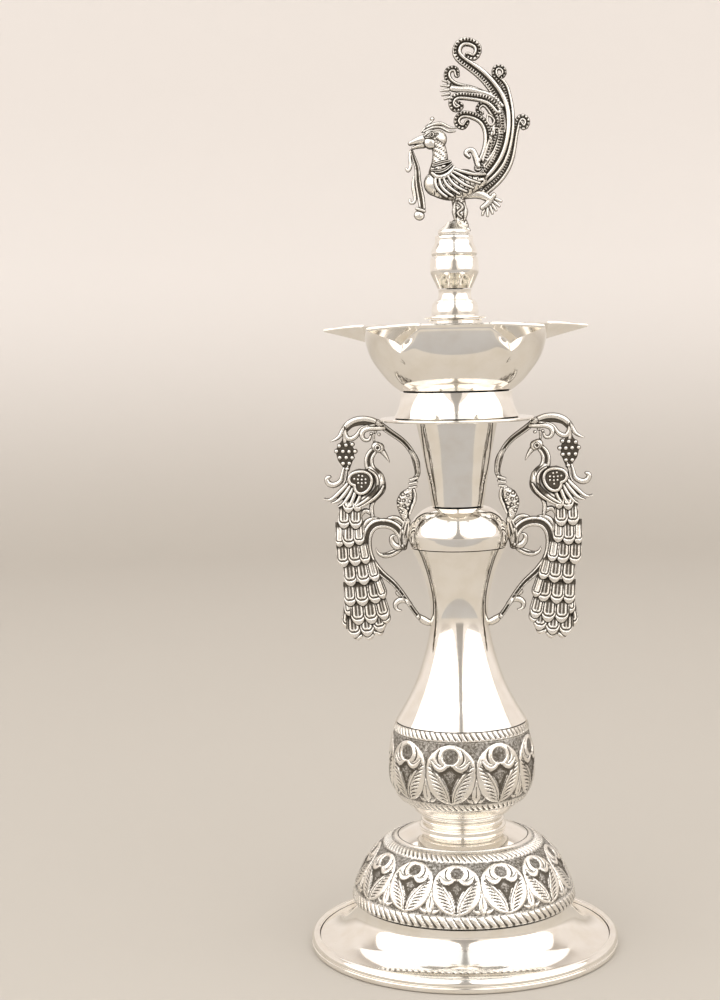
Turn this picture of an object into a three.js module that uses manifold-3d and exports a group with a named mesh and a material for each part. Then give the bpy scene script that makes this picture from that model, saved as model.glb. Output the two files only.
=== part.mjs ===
// A standing silver oil lamp: a pressed and chased foot, a spun stem with two cast
// peacock handles, a bowl with five pinched wick lips, and a cast peacock finial.
// Millimetres, +Z up. The origin is on the floor, on the lamp's own axis.
// The front of the lamp faces -Y, and the finial's peacock looks towards -X.

import * as THREE from 'three';
import { mergeVertices } from 'three/addons/utils/BufferGeometryUtils.js';
import Module from 'manifold-3d';

const wasm = await Module();
wasm.setup();

// Sheet and fits
const sheet = 1.0; // thickness of the spun and pressed silver
const seam = 0.3; // soldered seam, or the rest of one turned piece on the next
const screwPlay = 0.3; // play round a screw stud in its bush

// Foot
const footRadius = 52.6;
const rimWidth = 2.8;
const rimHeight = 4.9;
const skirtNeckRadius = 36.9;
const skirtHeight = 10.6;
const domeRadius = 38.3;
const domeHeight = 22.1;
const shoulderRadius = 22.4;
const shoulderHeight = 2.3;
const neckRadius = 14.0;
const neckHeight = 6.2;
const ropeRelief = 0.45; // how far a chased rope border stands proud

// Stem
const knopFootRadius = 16.3;
const knopRadius = 25.0;
const knopTopRadius = 22.4;
const knopHeight = 30.8;
const vaseWaistRadius = 9.8;
const vaseTopRadius = 16.2;
const vaseHeight = 59.0;
const bulgeRadius = 17.0;
const bulgeSkirtHeight = 3.9; // from the vase up to the bulge's widest place
const bulgeDomeHeight = 9.7; // from there up to the funnel
const funnelFootRadius = 8.9;
const funnelTopRadius = 13.8;
const funnelHeight = 28.4;
const trayRadius = 26.0;
const trayThickness = 1.0;

// Handles
const handleReach = 46.5; // from the lamp's axis to the outermost feather
const lugDrop = 29.0; // from the bulge's widest place down to the lower lug
const vineGirth = 0.95;
const scrollGirth = 1.35;
const lugRadius = 1.3;
const grapeRadius = 1.15;
const tailDepth = 2.3; // half the thickness of the tail's last tier
const tailHalfWidth = 8.3; // half the width of its widest tier
const birdGirth = 4.4; // half the peacock's breast
const crestGirth = 0.4;

// Bowl
const spoolFootRadius = 21.3;
const spoolHeight = 8.4;
const bowlFootRadius = 18.5;
const bowlRadius = 29.6;
const bowlDepth = 22.8;
const bowlRoundHeight = 17.3; // height at which the bowl's side comes upright
const rimFlare = 0.9;
const lipCount = 5;
const lipReach = 47.5;
const lipHalfWidth = 7.7;
const lipDepth = 8.7;
const lipDroop = 1.2;
const pillarRadius = 9.0;
const pillarRise = 0.9; // how far the pillar stands above the bowl's rim

// Screw studs and their bushes
const stemScrewRadius = 5.0;
const bowlScrewRadius = 4.0;
const finialScrewRadius = 3.0;
const screwEngagement = 7.6; // length of thread in the lower piece
const bushWall = 3.4;

// Finial
const columnFlangeRadius = 10.2;
const columnWaistRadius = 5.9;
const columnKnobRadius = 8.6;
const columnBaseHeight = 9.7;
const columnKnobHeight = 17.5;
const plinthRadius = 5.2;
const plinthHeight = 4.3;
const finialReach = 24.7; // from the axis to the outermost plume
const finialHeight = 59.7; // from the plinth's top to the highest curl
const plumeGirth = 1.05;
const finialGirth = 5.4; // half the finial peacock's body
const vineStalk = 0.9;

// Facets round each turned piece
const wideFacets = 32;
const middleFacets = 24;
const narrowFacets = 16;
const weldDistance = 1e-3;

const blend = THREE.MathUtils.lerp;

// Solids

// A closed geometry with shared vertices, no collapsed faces, and its faces pointing out
function welded(geometry) {
  geometry.deleteAttribute('normal');
  geometry.deleteAttribute('uv');
  const merged = mergeVertices(geometry, weldDistance);
  const position = merged.attributes.position;
  const index = merged.index.array;
  const faces = [];
  const a = new THREE.Vector3();
  const b = new THREE.Vector3();
  const c = new THREE.Vector3();
  let volume = 0;
  for (let i = 0; i < index.length; i += 3) {
    const [u, v, w] = [index[i], index[i + 1], index[i + 2]];
    if (u === v || v === w || w === u) continue;
    faces.push([u, v, w]);
    a.fromBufferAttribute(position, u);
    b.fromBufferAttribute(position, v);
    c.fromBufferAttribute(position, w);
    volume += a.dot(b.cross(c));
  }
  const outward = volume > 0 ? faces : faces.map(([u, v, w]) => [u, w, v]);
  merged.setIndex(outward.flat());
  return merged;
}

function solid(geometry) {
  const closed = welded(geometry);
  return new wasm.Manifold(new wasm.Mesh({
    numProp: 3,
    vertProperties: Float32Array.from(closed.attributes.position.array),
    triVerts: Uint32Array.from(closed.index.array),
  }));
}

function geometryOf(body) {
  const mesh = body.getMesh();
  const geometry = new THREE.BufferGeometry();
  geometry.setAttribute('position', new THREE.BufferAttribute(mesh.vertProperties, 3));
  geometry.setIndex(new THREE.BufferAttribute(mesh.triVerts, 1));
  return geometry;
}

function joined(bodies) {
  return bodies.reduce((whole, body) => whole.add(body));
}

// Turned and spun pieces: a profile is a list of [radius, height]

function turned(profile, facets) {
  const points = [...profile, profile[0]].map(([r, z]) => new THREE.Vector2(r, z));
  const geometry = new THREE.LatheGeometry(points, facets);
  geometry.rotateX(Math.PI / 2);
  return welded(geometry);
}

// A smooth outline through a few [radius, height] points
function spun(points, steps) {
  const curve = new THREE.SplineCurve(points.map(([r, z]) => new THREE.Vector2(r, z)));
  return curve.getPoints(steps).map((p) => [p.x, p.y]);
}

// A quarter of a superellipse from [outerRadius, 0] in to [innerRadius, height]
function domed(outerRadius, innerRadius, height, fullness, steps) {
  const line = [];
  for (let i = 0; i <= steps; i += 1) {
    const angle = (Math.PI / 2) * (i / steps);
    const across = Math.max(0, Math.cos(angle)) ** (2 / fullness);
    const up = Math.sin(angle) ** (2 / fullness);
    line.push([blend(innerRadius, outerRadius, across), height * up]);
  }
  return line;
}

const raised = (line, height) => line.map(([r, z]) => [r, z + height]);

// The unit normal on the outer side of an outline at point i
function outwardNormal(line, i) {
  const [r0, z0] = line[Math.max(0, i - 1)];
  const [r1, z1] = line[Math.min(line.length - 1, i + 1)];
  const length = Math.hypot(r1 - r0, z1 - z0);
  return [(z1 - z0) / length, (r0 - r1) / length];
}

// The inner face of a sheet whose outer face is the outline, from its last point back
function lining(line, thickness, every = 1) {
  const inner = [];
  const last = line.length - 1;
  line.forEach(([r, z], i) => {
    const [nr, nz] = outwardNormal(line, i);
    const isEnd = i === 0 || i === last;
    const isUpright = Math.abs(nr) > 0.6;
    if (!isEnd && i % every !== 0) return;
    if (!isEnd) inner.push([r - nr * thickness, z - nz * thickness]);
    else if (isUpright) inner.push([r - thickness / nr, z]);
    else inner.push([r, z - thickness / nz]);
  });
  return inner.reverse();
}

const shell = (line, every = 1) => [...line, ...lining(line, sheet, every)];

// Lifts the stretch of an outline between two fractions of its length into a low band
function banded(line, from, to, relief) {
  const last = line.length - 1;
  return line.map(([r, z], i) => {
    const here = i / last;
    if (here < from || here > to) return [r, z];
    const [nr, nz] = outwardNormal(line, i);
    return [r + nr * relief, z + nz * relief];
  });
}

function ring(innerRadius, outerRadius, low, high) {
  return [[innerRadius, low], [outerRadius, low], [outerRadius, high], [innerRadius, high]];
}

// A plain round stud with both ends chamfered
function stud(radius, low, high) {
  const chamfer = radius * 0.2;
  return [
    [0, low], [radius - chamfer, low], [radius, low + chamfer],
    [radius, high - chamfer], [radius - chamfer, high], [0, high],
  ];
}

// Castings: a path is a list of [x, z] in the plane of the lamp's handles

// A tapering limb along a path, its girth given at even stretches from end to end.
// depth is its thickness across the plane as a share of its girth.
function limb(path, girth, { depth = 1, sides = 4, stride = 3.2, extra = 0 } = {}) {
  const curve = new THREE.CatmullRomCurve3(
    path.map(([x, z]) => new THREE.Vector3(x, 0, z)), false, 'centripetal',
  );
  const steps = Math.max(path.length - 1, Math.ceil(curve.getLength() / stride));
  const across = new THREE.Vector3(0, 1, 0);
  const positions = [];
  const ends = [];
  for (let i = 0; i <= steps; i += 1) {
    const t = i / steps;
    const tangent = curve.getTangentAt(t);
    const point = curve.getPointAt(t);
    if (i === 0) point.addScaledVector(tangent, -extra);
    if (i === steps) point.addScaledVector(tangent, extra);
    if (i === 0 || i === steps) ends.push(point.x, 0, point.z);
    const side = tangent.cross(across).normalize();
    const stretch = Math.min(girth.length - 2, Math.floor(t * (girth.length - 1)));
    const within = t * (girth.length - 1) - stretch;
    const radius = blend(girth[stretch], girth[stretch + 1], within);
    for (let k = 0; k < sides; k += 1) {
      const angle = (2 * Math.PI * k) / sides;
      const sideways = (radius + extra) * Math.cos(angle);
      const outwards = (radius * depth + extra) * Math.sin(angle);
      positions.push(point.x + side.x * sideways, outwards, point.z + side.z * sideways);
    }
  }
  positions.push(...ends);
  const startCentre = (steps + 1) * sides;
  const index = [];
  for (let k = 0; k < sides; k += 1) {
    const next = (k + 1) % sides;
    for (let i = 0; i < steps; i += 1) {
      const low = i * sides;
      const high = low + sides;
      index.push(low + k, low + next, high + next, low + k, high + next, high + k);
    }
    index.push(startCentre, next, k);
    index.push(startCentre + 1, steps * sides + k, steps * sides + next);
  }
  const geometry = new THREE.BufferGeometry();
  geometry.setAttribute('position', new THREE.Float32BufferAttribute(positions, 3));
  geometry.setIndex(index);
  return solid(geometry);
}

function bead([x, z], radius, extra = 0) {
  const geometry = new THREE.OctahedronGeometry(radius + extra, 0);
  geometry.translate(x, 0, z);
  return solid(geometry);
}

// A round boss that stands out on both faces of a casting
function boss([x, z], radius, halfDepth) {
  const geometry = new THREE.CylinderGeometry(radius, radius, 2 * halfDepth, 12);
  geometry.translate(x, 0, z);
  return solid(geometry);
}

// A prism across the plane, thin along its first edge and thick along its last.
// Each outline point is [x, z, halfDepth].
function wedge(outline) {
  const count = outline.length;
  const positions = [];
  outline.forEach(([x, z, half]) => positions.push(x, half, z));
  outline.forEach(([x, z, half]) => positions.push(x, -half, z));
  const flat = outline.map(([x, z]) => new THREE.Vector2(x, z));
  const caps = THREE.ShapeUtils.triangulateShape(flat, []);
  const anticlockwise = !THREE.ShapeUtils.isClockWise(flat);
  const index = [];
  caps.forEach(([a, b, c]) => index.push(a, c, b, a + count, b + count, c + count));
  for (let i = 0; i < count; i += 1) {
    const next = (i + 1) % count;
    const [p, q] = anticlockwise ? [i, next] : [next, i];
    index.push(p, q, q + count, p, q + count, p + count);
  }
  const geometry = new THREE.BufferGeometry();
  geometry.setAttribute('position', new THREE.Float32BufferAttribute(positions, 3));
  geometry.setIndex(index);
  return solid(geometry);
}

// The same casting on the other side of the lamp
function mirrored(body) {
  return body.mirror([1, 0, 0]);
}

// Finishes
function polishedSilver() {
  return new THREE.MeshStandardMaterial({ color: 0xece7dc, roughness: 0.1, metalness: 1 });
}

function chasedSilver() {
  return new THREE.MeshStandardMaterial({ color: 0xb4aea2, roughness: 0.32, metalness: 1 });
}

function castSilver() {
  return new THREE.MeshStandardMaterial({ color: 0x9d988d, roughness: 0.36, metalness: 1 });
}

function steel() {
  return new THREE.MeshStandardMaterial({ color: 0x8f9194, roughness: 0.4, metalness: 1 });
}

function piece(group, name, geometry, finish) {
  const mesh = new THREE.Mesh(geometry, finish());
  mesh.name = name;
  group.add(mesh);
}

// Heights, each stack measured from its own lowest piece
const domeFoot = rimHeight + skirtHeight + seam;
const domeTop = domeFoot + domeHeight;
const shoulderTop = domeTop + shoulderHeight;
const neckTop = shoulderTop + neckHeight;

const vaseFoot = knopHeight + seam;
const bulgeFoot = vaseFoot + vaseHeight + seam;
const bulgeWidest = bulgeFoot + bulgeSkirtHeight;
const funnelFoot = bulgeWidest + bulgeDomeHeight + seam;
const funnelTop = funnelFoot + funnelHeight;
const trayUnderside = funnelTop + seam;
const trayTop = trayUnderside + trayThickness;

const bowlFloor = spoolHeight + seam;
const bowlRim = bowlFloor + bowlDepth;
const pillarFoot = bowlFloor + sheet + seam;
const pillarTop = bowlRim + pillarRise;

const knobFoot = columnBaseHeight + seam;
const knobTop = knobFoot + columnKnobHeight;
const plinthFoot = knobTop + seam;
const plinthTop = plinthFoot + plinthHeight;

// Foot
function footRim() {
  const inner = footRadius - rimWidth;
  const round = rimWidth / 3;
  return turned([
    [inner, 0], [footRadius - round, 0], [footRadius, round],
    [footRadius, rimHeight - 2 * round], [footRadius - round, rimHeight - round / 2],
    [footRadius - 2 * round, rimHeight], [inner, rimHeight - round / 3],
  ], wideFacets);
}

function footSkirt() {
  const edge = footRadius - rimWidth - seam;
  const low = rimHeight - seam;
  const rise = skirtHeight + seam;
  const across = (share) => blend(skirtNeckRadius, edge, share);
  const line = spun([
    [edge, low], [across(0.72), low + rise * 0.07], [across(0.42), low + rise * 0.22],
    [across(0.18), low + rise * 0.45], [across(0.02), low + rise * 0.74],
    [skirtNeckRadius, low + rise],
  ], 6);
  return turned(shell(line, 2), wideFacets);
}

function footDome() {
  const lipRadius = skirtNeckRadius - sheet;
  const dome = banded(domed(domeRadius, shoulderRadius, domeHeight, 1.6, 8), 0.02, 0.26, ropeRelief);
  const line = [[lipRadius, 0], [domeRadius - sheet, 0], ...dome.slice(1)];
  return turned(raised(shell(line, 3), domeFoot), wideFacets);
}

const neckBore = neckRadius - 0.8 - sheet;

function footShoulder() {
  const edge = shoulderRadius - seam;
  const ringOut = neckRadius + 0.5;
  const groove = neckRadius - 0.8;
  return turned([
    [edge, domeTop], [blend(edge, neckRadius, 0.35), domeTop + shoulderHeight * 0.55],
    [blend(edge, neckRadius, 0.7), domeTop + shoulderHeight * 0.88],
    [ringOut, shoulderTop], [ringOut, shoulderTop + neckHeight * 0.25],
    [groove, shoulderTop + neckHeight * 0.36], [neckRadius, shoulderTop + neckHeight * 0.48],
    [neckRadius, shoulderTop + neckHeight * 0.6], [groove, shoulderTop + neckHeight * 0.7],
    [ringOut, shoulderTop + neckHeight * 0.82], [ringOut, neckTop],
    [neckBore, neckTop], [neckBore, shoulderTop - sheet], [edge, domeTop - sheet],
  ], middleFacets);
}

function footBush() {
  const bore = stemScrewRadius + screwPlay;
  return turned(ring(bore, neckBore - seam, neckTop - neckHeight, neckTop), middleFacets);
}

// Stem, measured from the knop's floor
function stemScrew() {
  return turned(stud(stemScrewRadius, -screwEngagement, 2 * bushWall), narrowFacets);
}

function knop() {
  const outer = spun([
    [knopFootRadius, 0], [blend(knopFootRadius, knopRadius, 0.56), knopHeight * 0.137],
    [blend(knopFootRadius, knopRadius, 0.93), knopHeight * 0.32], [knopRadius, knopHeight * 0.49],
    [blend(knopTopRadius, knopRadius, 0.8), knopHeight * 0.72], [knopTopRadius, knopHeight],
  ], 10);
  const roped = banded(banded(outer, 0.05, 0.2, ropeRelief), 0.88, 0.97, ropeRelief);
  const floor = 1.5 * sheet;
  const bore = stemScrewRadius + screwPlay;
  const bossRadius = bore + bushWall / 2;
  const inner = lining(outer, sheet, 3).slice(0, -1).filter(([, z]) => z > 2 * floor);
  return turned([
    [bore, 0], ...roped, ...inner, [knopFootRadius - sheet, floor],
    [bossRadius, floor], [bossRadius, 2 * bushWall], [bore, 2 * bushWall],
  ], middleFacets);
}

const vaseFootRadius = knopTopRadius - 0.2;

const vaseLine = spun([
  [vaseFootRadius, 0], [blend(vaseWaistRadius, vaseFootRadius, 0.6), vaseHeight * 0.145],
  [blend(vaseWaistRadius, vaseFootRadius, 0.266), vaseHeight * 0.32],
  [blend(vaseWaistRadius, vaseFootRadius, 0.065), vaseHeight * 0.49],
  [vaseWaistRadius, vaseHeight * 0.655],
  [blend(vaseWaistRadius, vaseTopRadius, 0.33), vaseHeight * 0.83],
  [blend(vaseWaistRadius, vaseTopRadius, 0.66), vaseHeight * 0.925], [vaseTopRadius, vaseHeight],
], 11);

function vase() {
  return turned(raised(shell(vaseLine, 3), vaseFoot), middleFacets);
}

// The vase's outer radius at a height, read off its own outline
function vaseRadiusAt(height) {
  const z = height - vaseFoot;
  const above = vaseLine.findIndex((point) => point[1] >= z);
  const [r0, z0] = vaseLine[above - 1];
  const [r1, z1] = vaseLine[above];
  return blend(r0, r1, (z - z0) / (z1 - z0));
}

function bulgeLine() {
  const dome = domed(bulgeRadius, funnelFootRadius - sheet, bulgeDomeHeight, 1.8, 5);
  return [[vaseTopRadius, 0], [blend(vaseTopRadius, bulgeRadius, 0.7), bulgeSkirtHeight / 2],
    ...raised(dome, bulgeSkirtHeight)];
}

function bulge() {
  return turned(raised(shell(bulgeLine(), 2), bulgeFoot), middleFacets);
}

function funnelLine() {
  const radius = (share) => blend(funnelFootRadius, funnelTopRadius, share);
  return spun([
    [funnelFootRadius, 0], [radius(0.0), funnelHeight * 0.08], [radius(0.15), funnelHeight * 0.32],
    [radius(0.41), funnelHeight * 0.55], [radius(0.7), funnelHeight * 0.79], [funnelTopRadius, funnelHeight],
  ], 5);
}

function funnel() {
  return turned(raised(shell(funnelLine(), 2), funnelFoot), middleFacets);
}

const bowlScrewBore = bowlScrewRadius + screwPlay;

function tray() {
  return turned(ring(bowlScrewBore, trayRadius, trayUnderside, trayTop), wideFacets);
}

function trayBush() {
  const outer = bowlScrewBore + bushWall;
  return turned(ring(bowlScrewBore, outer, funnelTop - screwEngagement, funnelTop), narrowFacets);
}

// Handles, in the stem's own heights. Places are percentages: across from the bulge's side
// to the handle's reach, and up from the bulge's widest place to the tray, or down to the lug.
function onHandle([across, up]) {
  const x = blend(bulgeRadius, handleReach, across / 100);
  const z = up > 0 ? blend(bulgeWidest, trayUnderside, up / 100) : bulgeWidest + (lugDrop * up) / 100;
  return [x, z];
}

const handlePath = (places) => places.map(onHandle);

// The tray's edge, or a spun wall, as a solid grown by the seam, to seat a casting against it
function traySeat() {
  const grown = ring(bowlScrewBore, trayRadius + seam, trayUnderside - seam, trayTop + seam);
  return solid(turned(grown, wideFacets));
}

function bulgeSeat() {
  const line = raised(bulgeLine(), bulgeFoot).map(([r, z]) => [r + seam, z]);
  const [[, low], [, high]] = [line[0], line[line.length - 1]];
  return solid(turned([[0, low - seam], [line[0][0], low - seam], ...line, [0, high]], middleFacets));
}

function vineArm(extra = 0) {
  const girth = vineGirth;
  const grow = { extra };
  return joined([
    limb(handlePath([
      [34, 101], [26, 98], [16, 93], [7, 87], [0, 80], [-6, 73], [-10, 66], [-13, 59], [-11, 51], [-5, 41],
    ]), [girth, girth, girth * 0.85], grow),
    limb(handlePath([[-10, 50], [-8, 47]]), [1.5 * girth, 1.5 * girth], grow),
    limb(handlePath([[-7.5, 45], [-5.5, 42]]), [1.5 * girth, 1.5 * girth], grow),
    limb(handlePath([[-5, 42], [0, 34], [3, 27], [4, 19], [5, 12]]),
      [girth, 2.4 * girth, 2.1 * girth, girth, girth], grow),
    limb(handlePath([[30, 100], [45, 102.5], [58, 102], [70, 98], [78, 91], [84, 85], [90, 84]]),
      [girth, 1.3 * girth, 1.35 * girth, 1.2 * girth, 0.4 * girth], grow),
    limb(handlePath([[36, 99.5], [50, 100.5], [60, 97], [63, 91], [59, 86.5], [54, 88.5]]),
      [0.8 * girth, girth, girth, 0.9 * girth, 0.7 * girth], grow),
    limb(handlePath([[24, 95], [36, 96.5], [46, 94], [50, 89], [46, 85.5]]),
      [0.8 * girth, girth, girth, 0.8 * girth], grow),
  ]);
}

function scrollBracket(extra = 0) {
  const girth = scrollGirth;
  const grow = { extra };
  const lugHeight = bulgeWidest - lugDrop;
  const lug = [vaseRadiusAt(lugHeight) + seam + lugRadius, lugHeight];
  return joined([
    limb([...handlePath([
      [5, -9], [8, 1], [17, 9], [29, 12], [40, 9], [47, 1], [48, -13], [44, -27], [37, -37], [26, -46],
      [15, -54], [6, -65], [-1, -76], [-8, -88],
    ]), lug], [girth, 1.1 * girth, girth, 0.9 * girth, 0.8 * girth, 0.7 * girth, 0.65 * girth], grow),
    limb(handlePath([[8, -8], [-3, -5]]), [girth, 0.9 * girth], grow),
    limb(handlePath([[6, -9], [15, -17], [24, -20], [32, -18], [35, -12], [31, -9]]),
      [0.8 * girth, 0.55 * girth, 0.4 * girth], grow),
    limb(handlePath([[6, -9], [15, -10], [20, -4], [17, 1], [13, -1]]),
      [0.8 * girth, 0.6 * girth, 0.4 * girth], grow),
    limb(handlePath([[-2, -79], [6, -74], [13, -76], [15, -83], [11, -88]]),
      [0.5 * girth, 0.65 * girth, 0.5 * girth, 0.4 * girth], grow),
    bead(lug, lugRadius, extra),
  ]);
}

function handleBird(extra = 0) {
  const grow = { extra };
  const low = { depth: 0.75, extra };
  const girth = (...shares) => shares.map((share) => share * birdGirth);
  const crestGirths = [crestGirth, crestGirth, 2.5 * crestGirth, 1.5 * crestGirth];
  const crest = [[41, 89], [36, 91], [31, 88.5]];
  const feathers = [
    [[60, 56], [73, 46], [96, 32]], [[58, 51], [71, 40], [87, 28]], [[55, 46], [65, 36], [77, 26]],
    [[51, 43], [59, 33], [66, 25]], [[46, 41], [55, 27]],
  ];
  return joined([
    limb(handlePath([[33, 55], [37, 48], [45, 41], [55, 33]]), girth(0.68, 1, 1.02, 0.64), low),
    limb(handlePath([[39, 77], [41, 70], [41, 65], [40, 60], [36, 53]]),
      girth(0.48, 0.5, 0.48, 0.57, 0.77), low),
    limb(handlePath([[41, 80], [35, 78.5], [28, 75]]), girth(0.34, 0.5, 0.34), grow),
    limb(handlePath([[30, 75.5], [25, 71], [20, 66]]), girth(0.32, 0.2, 0.07), grow),
    ...crest.map((tip) => limb(handlePath([[37, 81], tip]), crestGirths, grow)),
    boss(onHandle([53, 49]), 0.86 * birdGirth + extra, 0.8 * birdGirth + extra),
    ...feathers.map((path) => limb(handlePath(path), girth(0.3, 0.32, 0.11), { depth: 1.4, extra, stride: 6 })),
    limb(handlePath([[64, 60], [69, 52], [74, 46], [82, 44], [90, 46], [93, 51], [88, 53]]),
      girth(0.2, 0.23, 0.23, 0.2, 0.14), { extra, stride: 4 }),
    limb(handlePath([[41, 34], [42, 25], [41, 17]]), girth(0.3, 0.2, 0.23), grow),
  ]);
}

// The tail: tiers of feathers along a slanting line, each tier standing out over the next
function handleTail() {
  const spine = new THREE.CatmullRomCurve3(handlePath([
    [63, 24], [67, 5], [64, -16], [56, -40], [48, -62], [46, -82], [50, -105], [52, -123],
  ]).map(([x, z]) => new THREE.Vector3(x, 0, z)), false, 'centripetal');
  const halfWidths = [0.36, 0.48, 0.6, 0.7, 0.8, 0.94, 1, 0.77].map((share) => share * tailHalfWidth);
  const feathersAcross = [2, 2, 2, 3, 3, 3, 3, 3];
  const tiers = halfWidths.length;
  const overlap = 0.3;
  const solids = halfWidths.map((half, i) => {
    const start = i / tiers;
    const length = spine.getLength() / tiers;
    const origin = spine.getPointAt(start);
    const along = spine.getTangentAt(Math.min(1, start + 0.5 / tiers));
    const side = new THREE.Vector3(along.z, 0, -along.x);
    const count = feathersAcross[i];
    const depth = blend(0.7, 1, i / (tiers - 1)) * tailDepth;
    const at = (across, down, half2) => {
      const p = origin.clone().addScaledVector(side, across * half).addScaledVector(along, down * length);
      return [p.x, p.z, half2];
    };
    const outline = [at(-0.8, -overlap, depth * 0.5), at(0.8, -overlap, depth * 0.5)];
    for (let k = count; k > 0; k -= 1) {
      const right = blend(-1, 1, k / count);
      const middle = blend(-1, 1, (k - 0.5) / count);
      const lobe = 1 / count;
      outline.push(at(right, 0.5, depth), at(middle + lobe * 0.6, 0.95, depth));
      outline.push(at(middle - lobe * 0.6, 0.95, depth));
    }
    outline.push(at(-1, 0.5, depth));
    return wedge(outline);
  });
  return joined(solids);
}

function grapeBunch() {
  const rows = [2, 3, 4, 3, 2, 1];
  const pitch = 1.72 * grapeRadius;
  const [x, top] = onHandle([70, 83]);
  const beads = rows.flatMap((count, row) => {
    const z = top - row * pitch * 0.9;
    return Array.from({ length: count }, (_, k) => bead([x + (k - (count - 1) / 2) * pitch, z], grapeRadius));
  });
  const stalk = limb([[x, top + 2 * grapeRadius], [x, top - 4.5 * pitch * 0.9]],
    [0.45 * grapeRadius, 0.7 * grapeRadius]);
  return joined([...beads, stalk]);
}

function handles(group) {
  const vine = vineArm().subtract(traySeat()).subtract(scrollBracket(seam));
  const bracket = scrollBracket().subtract(bulgeSeat());
  const bird = handleBird().subtract(scrollBracket(seam)).subtract(vineArm(seam));
  const tail = handleTail().subtract(scrollBracket(seam)).subtract(handleBird(seam));
  const grapes = grapeBunch().subtract(vineArm(seam)).subtract(handleBird(seam));
  const castings = { vine_arm: vine, scroll_bracket: bracket, peacock: bird, tail, grapes };
  Object.entries(castings).forEach(([name, body]) => {
    piece(group, `right_${name}`, geometryOf(body), castSilver);
    piece(group, `left_${name}`, geometryOf(mirrored(body)), castSilver);
  });
}

// Bowl, measured from the spool's foot
function bowlSpool() {
  const radius = (share) => blend(bowlFootRadius, spoolFootRadius, share);
  const line = spun([
    [spoolFootRadius, 0], [radius(0.5), spoolHeight * 0.16], [radius(0.22), spoolHeight * 0.38],
    [radius(0.03), spoolHeight * 0.7], [bowlFootRadius, spoolHeight],
  ], 4);
  return turned(shell(line, 2), middleFacets);
}

function bowlBoss() {
  const outer = bowlScrewBore + bushWall;
  return turned(ring(bowlScrewBore, outer, spoolHeight - 1.5 * bushWall, spoolHeight), narrowFacets);
}

// The bowl's side, before its rim is pinched out into lips
function bowlSideRadius(height) {
  const share = Math.min(1, height / bowlRoundHeight);
  return blend(bowlFootRadius, bowlRadius, 1 - (1 - share) ** 1.8);
}

// The outer face of the bowl at an angle away from the nearest lip, as [radius, height]
function bowlLine(angle) {
  const lipHalfAngle = Math.asin(lipHalfWidth / bowlRadius);
  const offset = Math.min(1, Math.abs(angle) / lipHalfAngle);
  const rimRadius = bowlRadius + rimFlare;
  const edge = bowlDepth - sheet;
  const reach = blend(lipReach, rimRadius, offset ** 0.7);
  const leave = edge - blend(lipDepth, rimFlare, offset ** 0.85);
  const tip = edge - lipDroop * (1 - offset ** 0.7);
  const line = [[bowlFootRadius, 0]];
  const wallSteps = 3;
  for (let i = 1; i <= wallSteps; i += 1) {
    const height = leave * (i / wallSteps) ** 1.15;
    line.push([bowlSideRadius(height), height]);
  }
  const channelSteps = 2;
  const start = bowlSideRadius(leave);
  for (let i = 1; i <= channelSteps; i += 1) {
    const out = i / channelSteps;
    line.push([blend(start, reach, out), blend(leave, tip, out ** 1.15)]);
  }
  return line;
}

function lippedBowl() {
  const pitch = (2 * Math.PI) / lipCount;
  const lipHalfAngle = Math.asin(lipHalfWidth / bowlRadius);
  const inLip = [0.12, 0.5, 1].map((share) => share * lipHalfAngle);
  const between = [0.5].map((share) => blend(lipHalfAngle, pitch / 2, share));
  const offsets = [...between, ...inLip].sort((a, b) => b - a).map((angle) => -angle);
  offsets.push(0, ...inLip, ...between, pitch / 2);
  const columns = [];
  for (let lip = 0; lip < lipCount; lip += 1) {
    offsets.forEach((offset) => {
      const azimuth = Math.PI / 2 + lip * pitch + offset;
      const outer = bowlLine(offset);
      const inner = outer.map(([r, z], i) => {
        const [nr, nz] = outwardNormal(outer, i);
        return i === 0 ? [r, z + sheet] : [r - nr * sheet, z - nz * sheet];
      }).reverse();
      columns.push([[0, 0], ...outer, ...inner, [0, sheet]].map(([r, z]) => [
        r * Math.cos(azimuth), r * Math.sin(azimuth), z + bowlFloor,
      ]));
    });
  }
  const rows = columns[0].length;
  const index = [];
  columns.forEach((column, c) => {
    const next = (c + 1) % columns.length;
    for (let i = 0; i + 1 < rows; i += 1) {
      const [a, b] = [c * rows + i, next * rows + i];
      index.push(a, b, b + 1, a, b + 1, a + 1);
    }
  });
  const geometry = new THREE.BufferGeometry();
  geometry.setAttribute('position', new THREE.Float32BufferAttribute(columns.flat(2), 3));
  geometry.setIndex(index);
  return welded(geometry);
}

const finialBore = finialScrewRadius + screwPlay;

function bowlPillar() {
  const blind = pillarTop - 1.7 * screwEngagement;
  return turned([
    [0, pillarFoot], [pillarRadius, pillarFoot], [pillarRadius, pillarTop],
    [finialBore, pillarTop], [finialBore, blind], [0, blind],
  ], narrowFacets);
}

function bowlScrew() {
  return turned(stud(bowlScrewRadius, -seam - trayThickness - screwEngagement, spoolHeight), narrowFacets);
}

// Finial, measured from the top of the bowl's pillar
function columnBase() {
  const flange = sheet;
  return turned([
    [finialBore, 0], [columnFlangeRadius, 0], [columnFlangeRadius, flange],
    [blend(columnWaistRadius, columnFlangeRadius, 0.66), flange * 1.2],
    [blend(columnWaistRadius, columnFlangeRadius, 0.5), columnBaseHeight * 0.48],
    [blend(columnWaistRadius, columnFlangeRadius, 0.36), columnBaseHeight * 0.65],
    [columnWaistRadius, columnBaseHeight * 0.78], [columnWaistRadius, columnBaseHeight],
    [finialBore, columnBaseHeight],
  ], narrowFacets);
}

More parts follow.
